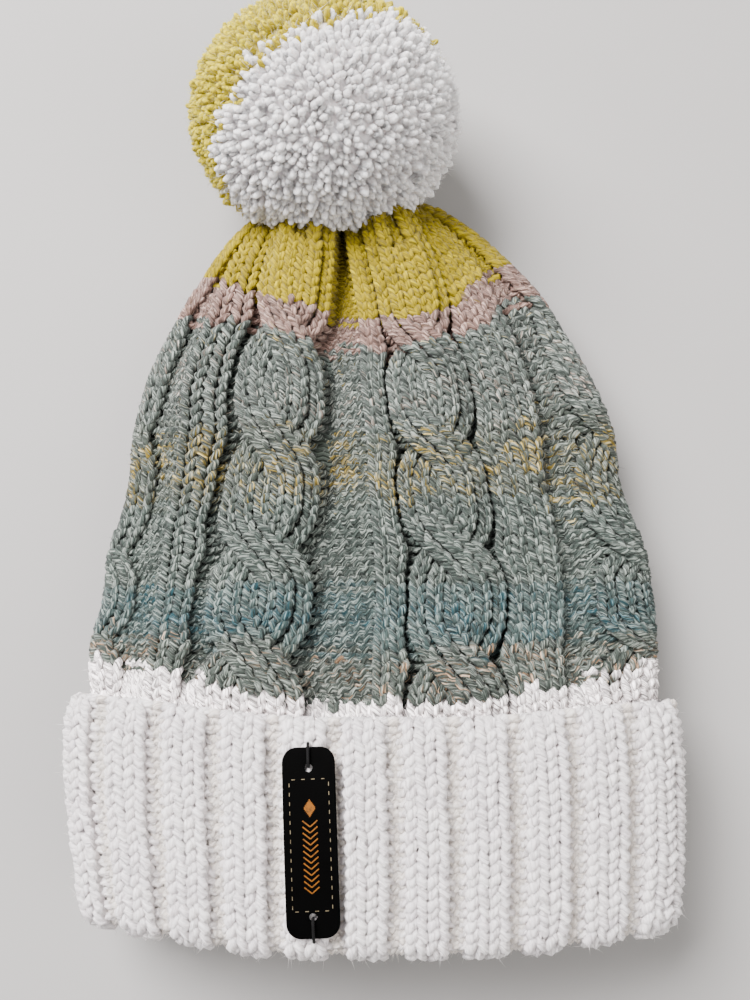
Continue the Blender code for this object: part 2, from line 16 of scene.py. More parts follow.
import bpy
import numpy as np
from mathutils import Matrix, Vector


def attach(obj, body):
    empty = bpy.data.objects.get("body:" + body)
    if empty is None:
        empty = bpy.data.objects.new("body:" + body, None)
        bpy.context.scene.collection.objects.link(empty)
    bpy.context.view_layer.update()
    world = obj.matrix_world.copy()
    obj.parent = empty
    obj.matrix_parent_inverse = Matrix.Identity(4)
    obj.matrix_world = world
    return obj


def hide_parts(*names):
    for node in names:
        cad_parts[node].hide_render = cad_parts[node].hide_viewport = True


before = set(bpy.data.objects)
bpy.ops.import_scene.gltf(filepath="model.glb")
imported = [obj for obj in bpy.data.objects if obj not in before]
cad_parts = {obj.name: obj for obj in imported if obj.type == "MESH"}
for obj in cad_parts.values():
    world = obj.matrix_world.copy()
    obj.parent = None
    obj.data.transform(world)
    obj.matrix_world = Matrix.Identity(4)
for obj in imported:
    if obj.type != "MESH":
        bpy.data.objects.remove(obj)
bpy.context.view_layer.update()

Array = np.ndarray
Point = tuple[float, float, float]
Piece = bpy.types.Object
Random = np.random.Generator
log = logging.getLogger("bobble_hat")

X_AXIS, Y_AXIS, Z_AXIS = np.eye(3)
FULL_TURN = 2 * math.pi


def hex_to_linear(code: str) -> Array:
    """Turns an sRGB colour, six digits after a number sign, into the linear values that shaders take."""
    encoded = np.array([int(code[i : i + 2], 16) for i in (1, 3, 5)]) / 255
    return np.where(encoded <= 0.04045, encoded / 12.92, ((encoded + 0.055) / 1.055) ** 2.4)


def rgba(code: str) -> tuple[float, float, float, float]:
    """The colour with full opacity, as a colour socket takes it."""
    return (*(float(c) for c in hex_to_linear(code)), 1.0)


def smooth_step(low: float, high: float, value: Array | float) -> Array:
    """A smooth ramp, 3t^2 - 2t^3 of the share t of the way from low to high, and level beyond them."""
    share = np.clip((np.asarray(value) - low) / (high - low), 0.0, 1.0)
    return share * share * (3 - 2 * share)


def blend(first: Array | float, second: Array | float, share: Array | float) -> Array:
    """The first value where the share is 0 and the second where it is 1, mixed evenly between."""
    return (1 - share) * first + share * second


def bell(value: Array, middle: float, width: float) -> Array:
    """A bell round the middle, exp(-((value - middle) / width)^2)."""
    return np.exp(-(((value - middle) / width) ** 2))


def soft_floor(height: Array, lowest: Array | float, softness: float) -> Array:
    """Keeps heights over a level, rounded off as level + softness log(1 + exp(over / softness))."""
    return lowest + softness * np.logaddexp(0.0, (height - lowest) / softness)


def unit(vectors: Array) -> Array:
    """Vectors scaled to a length of one."""
    return vectors / np.maximum(np.linalg.norm(vectors, axis=-1, keepdims=True), 1e-12)


def adding_up(steps: Array) -> Array:
    """Running total of some steps, from 0."""
    return np.concatenate([[0.0], np.cumsum(steps)])


def across_axis(axis: Array) -> tuple[Array, Array]:
    """Two unit directions at right angles to each axis and to each other."""
    first = unit(np.cross(axis, np.where(np.abs(axis[:, 2:3]) < 0.9, Z_AXIS, X_AXIS)))
    return first, np.cross(axis, first)


def circle(first: Array, second: Array, sides: int) -> Array:
    """Directions round a profile, cos(a) first + sin(a) second, on a new axis before the last."""
    angle = (FULL_TURN * np.arange(sides) / sides)[:, None]
    return np.cos(angle) * first[..., None, :] + np.sin(angle) * second[..., None, :]


def lattice_noise(rng: Random, position: Array, period: float, total: float) -> Array:
    """Smooth random values from 0 to 1 along a closed line.

    Args:
        rng: source of the random numbers.
        position: where to read it.
        period: distance between lattice values.
        total: length of the closed line.

    Returns:
        Values that change smoothly over the period.
    """
    cells = max(int(round(total / period)), 2)
    values = rng.random(cells)
    at = np.mod(position / total * cells, cells)
    low = at.astype(int) % cells
    return blend(values[low], values[(low + 1) % cells], smooth_step(0.0, 1.0, at - at.astype(int)))


class Section(NamedTuple):
    """One cross-section of the body, as shares of its length, width and height."""

    along: float
    width: float
    height: float
    aside: float
    middle: float
    lifted: float


SECTIONS = (
    Section(0.000, 0.950, 0.98, 0.000, 0.93, 1.0),  # mouth
    Section(0.132, 0.968, 1.02, 0.000, 0.95, 1.0),
    Section(0.285, 0.985, 1.00, -0.005, 0.95, 1.0),  # edge of the cuff
    Section(0.352, 0.975, 0.99, -0.005, 0.94, 0.7),
    Section(0.428, 0.975, 0.98, 0.003, 0.93, 0.1),
    Section(0.500, 0.951, 0.98, 0.000, 0.92, 0.0),
    Section(0.581, 0.894, 0.97, -0.003, 0.92, 0.0),  # waist
    Section(0.663, 0.867, 0.95, -0.006, 0.91, 0.0),
    Section(0.729, 0.828, 0.94, -0.013, 0.90, 0.0),  # shoulder
    Section(0.821, 0.708, 0.92, -0.017, 0.88, 0.0),
    Section(0.903, 0.569, 0.87, -0.030, 0.84, 0.0),
    Section(0.956, 0.428, 0.78, -0.042, 0.82, 0.0),
    Section(0.990, 0.286, 0.60, -0.054, 0.84, 0.0),
    Section(1.000, 0.138, 0.36, -0.064, 0.88, 0.0),  # top of the gather
)


@dataclass
class RoundSurface:
    """A closed-round surface on a grid of stations along it and columns round it.

    Attributes:
        points: (stations, columns + 1, 3); the last column repeats the first.
        along: length coordinate of each station.
        outward: -1 where the length runs so that the normals would point inward.
    """

    points: Array
    along: Array
    outward: float = 1.0
    normals: Array = field(init=False)

    def __post_init__(self) -> None:
        """Normals are the cross product of the differences round and along the grid."""
        along = np.gradient(self.points, axis=0)
        wrapped = np.concatenate([self.points[:, -2:-1], self.points, self.points[:, 1:2]], axis=1)
        across = (wrapped[:, 2:] - wrapped[:, :-2]) / 2
        self.normals = unit(np.cross(across, along)) * self.outward

    def at(self, along: Array, share: Array) -> tuple[Array, Array]:
        """Reads the surface between its grid points by bilinear mixing.

        Args:
            along: length coordinates.
            share: shares of the way round, from the left edge over the front.

        Returns:
            Points and unit normals.
        """
        count, around = len(self.along), self.points.shape[1] - 1
        station = np.interp(along, self.along, np.arange(count))
        low = np.minimum(station.astype(int), count - 2)
        column = np.mod(share, 1.0) * around
        left = np.minimum(column.astype(int), around - 1)
        part, mix = (station - low)[..., None], (column - left)[..., None]

        def read(grid: Array) -> Array:
            """Four neighbours mixed by their nearness."""
            near = blend(grid[low, left], grid[low, left + 1], mix)
            return blend(near, blend(grid[low + 1, left], grid[low + 1, left + 1], mix), part)

        return read(self.points), unit(read(self.normals))


@dataclass
class HatForm:
    """The smooth body of the hat, with the same named sizes as its solids.

    Attributes:
        power: power of the sections' superellipses.
        edge_drop: how far the cuff's cast-on edge lies below its full depth.
        shift: from the hat's own middle and mouth to the frame.
        bow: how far the left and right ends of the cuff lie up the hat.
        bow_left: x from which and to which the left end rises.
        bow_right: the same on the right.
        bow_fade: y over which the bow dies out up the crown.
        rest_softness: how sharply the cloth bends where it rests.
        rib_rise: height of the cuff's ribs over its wall.
    """

    body_length: float = 0.240
    body_width: float = 0.181
    body_height: float = 0.037
    wall: float = 0.0048
    power: float = 2.5
    cuff_depth: float = 0.0672
    edge_drop: float = 0.0012
    inner_layer_shows: float = 0.004
    turn_up_gap: float = 0.0009
    cuff_bulge: float = 0.0012
    rib_rise: float = 0.0011
    eyelet_radius: float = 0.0032
    rest_softness: float = 0.0006
    shift: Point = (0.000594, -0.151928, 0.0)
    bow: tuple[float, float] = (0.0066, 0.0046)
    bow_left: tuple[float, float] = (-0.015, -0.095)
    bow_right: tuple[float, float] = (0.020, 0.095)
    bow_fade: tuple[float, float] = (-0.025, -0.075)
    stations: int = 300
    around: int = 480
    body: RoundSurface = field(init=False)

    def __post_init__(self) -> None:
        """Works out the body once: superellipses of the sections' sizes along a smooth curve."""
        y, width, height, aside, middle = self.profile().T
        power = self.power + (2.0 - self.power) * smooth_step(0.030, 0.012, width)
        angle = np.linspace(math.pi, -math.pi, 4 * self.around + 1)
        cosine, sine = np.cos(angle), np.sin(angle)
        points = np.empty((self.stations, self.around + 1, 3))
        for row in range(self.stations):
            x = width[row] * np.sign(cosine) * np.abs(cosine) ** (2 / power[row])
            z = height[row] * np.sign(sine) * np.abs(sine) ** (2 / power[row])
            run = adding_up(np.hypot(np.diff(x), np.diff(z)))
            even = np.linspace(0.0, run[-1], self.around + 1)
            points[row, :, 0] = aside[row] + np.interp(even, run, x)
            points[row, :, 1] = y[row]
            points[row, :, 2] = middle[row] + np.interp(even, run, z)
        steps = np.sqrt(np.diff(y) ** 2 + np.diff(height) ** 2 + (0.4 * np.diff(width)) ** 2)
        self.body = RoundSurface(points + np.array(self.shift), adding_up(steps))

    def profile(self) -> Array:
        """Rows of y, half width, half height, x of the middle and z of the middle.

        Returns:
            A cubic Hermite curve through the sections, sampled evenly along its length.
        """
        lift, half = self.turn_up_gap + self.wall, self.body_height / 2
        along, width, height, aside, middle, lifted = np.array(SECTIONS).T
        flat = [along * self.body_length, width * self.body_width / 2, height * half]
        rows = np.array([*flat, aside * self.body_width, middle * half + lifted * lift]).T
        top = rows[-1]
        inside = [top[0] - self.wall, self.eyelet_radius, self.eyelet_radius, top[3], top[4]]
        points = np.concatenate([rows, [inside]])
        steps = np.linalg.norm(np.diff(points[:, :3], axis=0), axis=1)
        knots = adding_up(steps)
        slopes = np.gradient(points, knots, axis=0)
        at = np.linspace(0.0, knots[-1], self.stations)
        left = np.clip(np.searchsorted(knots, at, side="right") - 1, 0, len(steps) - 1)
        span = steps[left]
        t = ((at - knots[left]) / span)[:, None]
        return (
            (2 * t**3 - 3 * t**2 + 1) * points[left]
            + (t**3 - 2 * t**2 + t) * span[:, None] * slopes[left]
            + (3 * t**2 - 2 * t**3) * points[left + 1]
            + (t**3 - t**2) * span[:, None] * slopes[left + 1]
        )

    def bowed(self, points: Array) -> Array:
        """Carries both ends of the cuff and of the rows over it up the hat: it lies in a bow.

        The shift in y is the bow of that side times a smooth step aside, faded out up the crown.

        Args:
            points: points of the cloth.

        Returns:
            The shifted points.
        """
        left = self.bow[0] * smooth_step(*self.bow_left, points[..., 0])
        right = self.bow[1] * smooth_step(*self.bow_right, points[..., 0])
        shift = (left + right) * smooth_step(*self.bow_fade, points[..., 1])
        return points + shift[..., None] * Y_AXIS

    def run_at(self, y: Array | float) -> Array:
        """Length along the body at which it first reaches y from its mouth.

        Args:
            y: distances from the mouth.

        Returns:
            The length at each.
        """
        line = self.body.points[:, 0, 1] - self.shift[1]
        first = int(np.argmax(line)) + 1
        return np.interp(y, line[:first], self.body.along[:first])

    def crown_middle(self) -> RoundSurface:
        """The middle of the crown's wall, flattened where it rests.

        Returns:
            A surface along the body's own length.
        """
        inward = self.body.points - self.body.normals * (self.wall / 2)
        inward[..., 2] = soft_floor(inward[..., 2], self.wall / 2, self.rest_softness)
        return RoundSurface(inward, self.body.along)

    def cuff_middle(self) -> RoundSurface:
        """The middle of the cuff's wall, from its edge down, round the fold and up inside.

        Returns:
            A surface whose length coordinate starts at the edge.
        """
        radius = (self.wall + self.turn_up_gap) / 2
        fold_y = self.wall + self.turn_up_gap / 2
        outer, middle = self.turn_up_gap + self.wall / 2, self.turn_up_gap / 2
        top = self.cuff_depth - self.edge_drop
        stops: list[tuple[float, float]] = []
        for y in np.linspace(top, fold_y, 60):
            share = (top - y) / (top - fold_y)
            stops.append((y, outer + self.cuff_bulge * math.sin(math.pi * share)))
        for turn in np.linspace(math.pi / 2, -math.pi / 2, 26)[1:]:
            stops.append((fold_y - radius * math.cos(turn), middle + radius * math.sin(turn)))
        stops += [(y, -self.wall / 2) for y in np.linspace(fold_y + 0.001, top, 50)]
        share = np.linspace(0.0, 1.0, self.around + 1)
        rings = []
        for y, out in stops:
            ring, normal = self.body.at(np.full(share.shape, self.run_at(max(y, 0.0))), share)
            normal[:, 1] = 0.0
            ring = ring + unit(normal) * out
            ring[:, 1] = y + self.shift[1]
            lowest = self.wall / 2 + outer - min(out, outer)
            ring[:, 2] = soft_floor(ring[:, 2], lowest, self.rest_softness)
            rings.append(ring)
        steps = np.hypot(*np.diff(np.array(stops), axis=0).T)
        return RoundSurface(np.array(rings), adding_up(steps), -1.0)

    def cuff_crest(self, x: Array, y: Array) -> Array:
        """Height of the cuff's ribs on the front.

        Args:
            x: distances to the side, from the hat's own middle.
            y: distances from its mouth.

        Returns:
            The z of the ribs at each point.
        """
        share = np.linspace(0.02, 0.48, 240)
        run = self.run_at(y)[:, None]
        points, normals = self.body.at(run + 0 * share, share + 0 * run)
        normals[..., 1] = 0.0
        up = np.clip((self.cuff_depth - y) / (self.cuff_depth - self.wall), 0.0, 1.0)
        out = self.turn_up_gap + self.wall + self.cuff_bulge * np.sin(math.pi * up) + self.rib_rise
        points = points + unit(normals) * out[:, None, None]
        wanted = x + self.shift[0]
        beyond = np.clip((points[..., 0] < wanted[:, None]).sum(axis=1), 1, len(share) - 1)
        pick = np.arange(len(x))
        left, right = points[pick, beyond - 1], points[pick, beyond]
        part = (wanted - left[:, 0]) / (right[:, 0] - left[:, 0])
        return left[:, 2] + part * (right[:, 2] - left[:, 2])


class UvKind(Enum):
    """Names of the coordinates that materials read."""

    YARN = "yarn_run"
    FABRIC = "fabric_run"


COLOUR_ATTRIBUTE = "yarn_colour"
FLECK_ATTRIBUTE = "yarn_fleck"


def plain_tint(colour: Array, bleach: float = 1.0) -> Array:
    """A colour as eight tint values: ground, flecks, the flecks' coverage, here 0, and the bleaching.

    Args:
        colour: linear colours.
        bleach: bleaching of their strands.

    Returns:
        Eight values for each colour.
    """
    colour = np.asarray(colour, float)
    end = np.broadcast_to([0.0, bleach], colour.shape[:-1] + (2,))
    return np.concatenate([colour, colour, end], axis=-1)


class Shape(NamedTuple):
    """Vertices with eight tint values each, and faces with the coordinates of their corners."""

    vertices: Array
    tints: Array
    quads: Array = np.empty((0, 4), int)
    quad_uvs: Array = np.empty((0, 4, 2))
    triangles: Array = np.empty((0, 3), int)
    triangle_uvs: Array = np.empty((0, 3, 2))


def link_piece(name: str, data: bpy.types.ID) -> Piece:
    """Puts a mesh, a light or a camera into the scene as an object.

    Args:
        name: name of the object.
        data: what it shows.

    Returns:
        The linked object.
    """
    piece = bpy.data.objects.new(name, data)
    bpy.context.scene.collection.objects.link(piece)
    return piece


def plain_piece(name: str, vertices: Array, faces: Array) -> Piece:
    """An object from plain lists of vertices and faces.

    Args:
        name: name of the piece.
        vertices: its vertices.
        faces: corners of each face.

    Returns:
        The linked object.
    """
    mesh = bpy.data.meshes.new(name)
    mesh.from_pydata(vertices.tolist(), [], faces.tolist())
    return link_piece(name, mesh)


def yarn_piece(name: str, uv: UvKind, shapes: Sequence[Shape]) -> Piece:
    """Puts shapes into one mesh object at the origin, all its quads before its triangles.

    Args:
        name: name of the piece.
        uv: which coordinates its corners hold.
        shapes: the shapes, with faces counted from their own first vertices.

    Returns:
        The linked object.
    """
    vertices = np.concatenate([s.vertices.reshape(-1, 3) for s in shapes])
    first = adding_up([s.vertices.size // 3 for s in shapes]).astype(int)
    quads = np.concatenate([s.quads + n for s, n in zip(shapes, first)])
    triangles = np.concatenate([s.triangles + n for s, n in zip(shapes, first)])
    uvs = [s.quad_uvs.reshape(-1, 2) for s in shapes] + [s.triangle_uvs.reshape(-1, 2) for s in shapes]
    tints = np.concatenate([s.tints for s in shapes]).astype(np.float32)
    sizes = np.repeat([4, 3], [len(quads), len(triangles)])
    corners = np.concatenate([quads.ravel(), triangles.ravel()])
    mesh = bpy.data.meshes.new(name)
    mesh.vertices.add(len(vertices))
    mesh.vertices.foreach_set("co", vertices.astype(np.float32).ravel())
    mesh.loops.add(len(corners))
    mesh.loops.foreach_set("vertex_index", corners.astype(np.int32))
    mesh.polygons.add(len(sizes))
    mesh.polygons.foreach_set("loop_start", (np.cumsum(sizes) - sizes).astype(np.int32))
    mesh.update(calc_edges=True)
    layer = mesh.uv_layers.new(name=uv.value)
    layer.data.foreach_set("uv", np.concatenate(uvs).astype(np.float32).ravel())
    for own, columns in ((COLOUR_ATTRIBUTE, [0, 1, 2, 7]), (FLECK_ATTRIBUTE, [3, 4, 5, 6])):
        layer = mesh.color_attributes.new(name=own, type="FLOAT_COLOR", domain="POINT")
        layer.data.foreach_set("color", tints[:, columns].ravel())
    mesh.polygons.foreach_set("use_smooth", np.ones(len(sizes), bool))
    mesh.validate()
    return link_piece(name, mesh)


def tube_faces(run: Array, turn: Array, closed: bool) -> tuple[Array, Array]:
    """Quads between neighbouring rings of a tube, and the coordinates of their corners.

    Corner k of a quad is one of (ring, side), (ring, side + 1), (next ring, side + 1) and
    (next ring, side), and its coordinates are the run of its ring and the turn of its side.

    Args:
        run: length coordinate of each ring, and once more of the first where the tube is closed.
        turn: coordinate of each side round it, and once more of the first.
        closed: whether its last ring joins its first.

    Returns:
        Quads (n, 4) and coordinates (n, 4, 2).
    """
    rings, sides = len(run) - closed, len(turn) - 1
    ring, side = np.mgrid[: len(run) - 1, :sides].reshape(2, -1)
    rings_of = np.stack([ring, ring, ring + 1, ring + 1], -1)
    sides_of = np.stack([side, side + 1, side + 1, side], -1)
    return rings_of % rings * sides + sides_of % sides, np.stack([run[rings_of], turn[sides_of]], -1)


class StitchKind(Enum):
    """What the stitches of a panel do: legs out, bumps out, or legs out in two crossing strands."""

    KNIT = "knit"
    PURL = "purl"
    CABLE = "cable"


KNIT, PURL, CABLE = StitchKind


class Panel(NamedTuple):
    """One panel of the knitting chart.

    Attributes:
        kind: what the stitches do.
        stitches: how many there are below the decreases.
        width: width by the cuff, in millimetres on a half of the hat spread out flat.
        shoulder: the same where the hat begins to narrow.
        gathered: how many are left at the top.
    """

    kind: StitchKind
    stitches: int
    width: float
    shoulder: float
    gathered: int


FRONT_PANELS = (
    Panel(CABLE, 6, 32.0, 23.0, 2),
    Panel(PURL, 4, 9.6, 7.5, 1),
    Panel(KNIT, 2, 11.8, 17.0, 2),
    Panel(PURL, 2, 6.5, 3.4, 1),
    Panel(CABLE, 6, 30.2, 25.0, 4),
    Panel(PURL, 6, 22.0, 13.4, 1),
    Panel(KNIT, 2, 9.0, 6.6, 2),
    Panel(PURL, 1, 2.3, 1.8, 1),
    Panel(CABLE, 6, 27.6, 23.5, 4),
    Panel(PURL, 1, 2.0, 1.8, 1),
    Panel(KNIT, 4, 17.7, 19.5, 2),
    Panel(PURL, 3, 13.5, 13.0, 1),
    Panel(CABLE, 8, 48.6, 32.4, 4),
)
BACK_PANELS = (
    Panel(PURL, 4, 17.0, 15.0, 1),
    Panel(KNIT, 2, 9.0, 8.5, 2),
    Panel(PURL, 1, 2.6, 2.4, 1),
    Panel(CABLE, 6, 26.0, 25.0, 4),
    Panel(PURL, 5, 21.0, 17.0, 1),
    Panel(KNIT, 2, 9.0, 8.5, 2),
    Panel(PURL, 1, 2.6, 2.4, 1),
    Panel(CABLE, 6, 26.0, 25.0, 4),
    Panel(PURL, 1, 2.6, 2.4, 1),
    Panel(KNIT, 2, 9.0, 8.5, 2),
    Panel(PURL, 4, 17.0, 15.0, 1),
    Panel(KNIT, 2, 9.0, 8.5, 2),
    Panel(PURL, 1, 4.0, 3.5, 1),
)
PANELS = FRONT_PANELS + BACK_PANELS


class Loops(NamedTuple):
    """What the chart says about columns at some points: share round, share width, relief and face."""

    centre: Array
    width: Array
    relief: Array
    face: Array


class YarnTint(NamedTuple):
    """Colour of a stretch of rows, with flecks of a second colour in it and bleached strands."""

    first_row: float
    ground: str
    fleck: str
    coverage: float
    bleach: float


@dataclass
class Knitting:
    """Rows of loops on a surface. Subclasses give the chart, the surface and the colours.

    Attributes:
        loop_height: half the height of a loop, in rows.
        loop_open: how far a loop's legs lean out, in stitches.
        loop_depth: how far its legs stand before its ends.
        yarn_radius: radius of the yarn.
        front_points: points of each loop on the front.
        back_points: points of each loop underneath.
        front_from: share of the way round at which the front begins.
        front_to: share at which it ends.
        sides: sides of the yarn's profile.
        end_shade: painted shade: how much darker the yarn is where it goes behind the next loop and where
            it lies sunk in a valley.
        uneven: how far loops stray along the fabric, in rows, as hand knitting does.
        lumps: how much the yarn's radius varies, as a share.
        joining: stitches before and after a border over which one loop turns into the next.
        floor: lowest height of any yarn.
        seed: start of its random numbers.
        surface: the middle of the wall.
    """

    form: HatForm
    loop_height: float = 0.88
    loop_open: float = 0.29
    loop_depth: float = 0.00095
    yarn_radius: float = 0.00122
    row_height: float = 0.0030
    front_points: int = 10
    back_points: int = 6
    front_from: float = 0.985
    front_to: float = 0.515
    sides: int = 5
    end_shade: float = 0.45
    uneven: float = 0.16
    lumps: float = 0.05
    joining: float = 0.30
    floor: float = 0.00015
    seed: int = 11
    surface: RoundSurface = field(init=False)

    def columns(self, row: float) -> int:
        """Number of stitches in a row."""
        raise NotImplementedError

    def loops(self, row: float, column: Array, height: Array) -> Loops:
        """What the chart says about columns of a row at heights in rows."""
        raise NotImplementedError

    def place(self, share: Array, height: Array) -> tuple[Array, Array]:
        """Points and normals of the surface at shares round it and heights in rows."""
        raise NotImplementedError

    def colour(self, row: float, share: Array, stitch: Array) -> Array:
        """Eight tint values of the yarn at points of one row."""
        raise NotImplementedError

    def yarn_line(self, row: float) -> tuple[Array, Array, Array]:
        """Centre line of one row of loops.

        With t = 2 pi (s - k - 1/2) in loop k, the line is at x = s + open * sin 2t across,
        y = row + height * cos t along and z = -depth * cos 2t out, and a purled loop has z turned.

        Args:
            row: which row.

        Returns:
            Points, surface normals and colours.
        """
        columns = self.columns(row)
        number = np.arange(columns)
        middle = np.mod(self.loops(row, number, np.full(columns, float(row))).centre, 1.0)
        on_front = (middle > self.front_from) | (middle < self.front_to)
        counts = np.where(on_front, self.front_points, self.back_points)
        first = np.cumsum(counts) - counts
        within = np.arange(counts.sum()) - np.repeat(first, counts)
        stitch = np.repeat(number, counts) + within / np.repeat(counts, counts)
        border = np.rint(stitch)
        mix = smooth_step(-self.joining, self.joining, stitch - border)
        turn = FULL_TURN * (stitch - 0.5)
        rng = np.random.default_rng(self.seed * 641 + int(row) + 300)
        stray = self.uneven * (lattice_noise(rng, stitch, 1.0, float(columns)) - 0.5)
        sway = 0.5 * self.uneven * (lattice_noise(rng, stitch, 1.0, float(columns)) - 0.5)
        height = row + self.loop_height * np.cos(turn) + stray
        left = self.loops(row, border.astype(int) - 1, height)
        right = self.loops(row, border.astype(int), height)
        lean = self.loop_open * np.sin(2 * turn) + sway
        share = blend(
            left.centre + left.width * (stitch - border + 0.5 + lean),
            right.centre + right.width * (stitch - border - 0.5 + lean),
            mix,
        )
        relief = blend(left.relief, right.relief, mix)
        points, normals = self.place(share, height)
        swing = -blend(left.face, right.face, mix) * np.cos(2 * turn) + stray
        colour = self.colour(row, share, stitch)
        # Painted shade: darker where a loop goes behind the next one and where the yarn lies sunk in a
        # valley.
        behind = smooth_step(0.1, -1.0, swing) + 0.9 * smooth_step(0.0, -0.0045, relief)
        colour[:, :6] *= np.clip(1 - self.end_shade * behind, 0.2, 1.0)[:, None]
        return points + normals * (relief + self.loop_depth * swing)[:, None], normals, colour

    def knit_row(self, row: float) -> Shape:
        """Carries a round profile along one row's line: centre + radius (cos(a) n + sin(a) b).

        Args:
            row: which row.

        Returns:
            A closed tube, coloured and measured along its length.
        """
        centre, normal, tints = self.yarn_line(row)
        wave = np.random.default_rng(self.seed * 1009 + int(row) + 500).normal(0.0, 1.0, len(centre))
        radius = self.yarn_radius * (1 + self.lumps * wave.clip(-2, 2))
        following = np.roll(centre, -1, axis=0)
        tangent = unit(following - np.roll(centre, 1, axis=0))
        across = unit(np.cross(tangent, normal))
        ring = circle(np.cross(across, tangent), across, self.sides)
        vertices = centre[:, None] + radius[:, None, None] * ring
        vertices[..., 2] = np.maximum(vertices[..., 2], self.floor)
        run = 1.37 * row + adding_up(np.linalg.norm(following - centre, axis=1))
        faces = tube_faces(run, np.arange(self.sides + 1) / self.sides, True)
        return Shape(vertices, np.repeat(tints, self.sides, axis=0), *faces)

    def knit_rows(self, name: str, rows: Sequence[float]) -> Piece:
        """Builds the yarn of some rows as one piece."""
        return yarn_piece(name, UvKind.YARN, [self.knit_row(row) for row in rows])

    def ground(self, name: str, rows: Array, sink: float, depth: float) -> Piece:
        """A closed double wall behind the yarn, so that no gap between loops lets light through.

        Args:
            name: name of the piece.
            rows: heights in rows of its rings.
            sink: how far its outer wall lies under the yarn's middle.
            depth: how far its inner wall lies under the surface.

        Returns:
            The piece.
        """
        columns = self.columns(float(rows[0]))
        share_count = 2 * columns
        stitch = np.arange(share_count) / 2
        even = np.arange(share_count) / share_count
        outer, inner = [], []
        for row in rows.astype(float):
            height = np.full(share_count, row)
            now = self.columns(row)
            scaled = stitch * now / columns
            number = np.minimum(scaled.astype(int), now - 1)
            read = self.loops(row, number, height)
            share = read.centre + read.width * (scaled - number - 0.5)
            points, normals = self.place(share, height)
            points = points + normals * (read.relief - sink)[:, None]
            outer.append((points, self.colour(row, share, scaled)))
            points, normals = self.place(even, height)
            inner.append((points - normals * depth, self.colour(row, even, stitch)))
        rings, tints = zip(*(outer + inner[::-1]))
        vertices = np.array(rings)
        vertices[..., 2] = np.maximum(vertices[..., 2], self.floor)
        height = np.concatenate([rows, rows[::-1], rows[:1]])
        quads, uvs = tube_faces(height, np.arange(share_count + 1) / 2, True)
        order = [1, 2, 3, 0] if self.surface.outward > 0 else [0, 3, 2, 1]
        shape = Shape(vertices, np.concatenate(tints), quads[:, order], uvs[:, order, ::-1])
        return yarn_piece(name, UvKind.FABRIC, [shape])


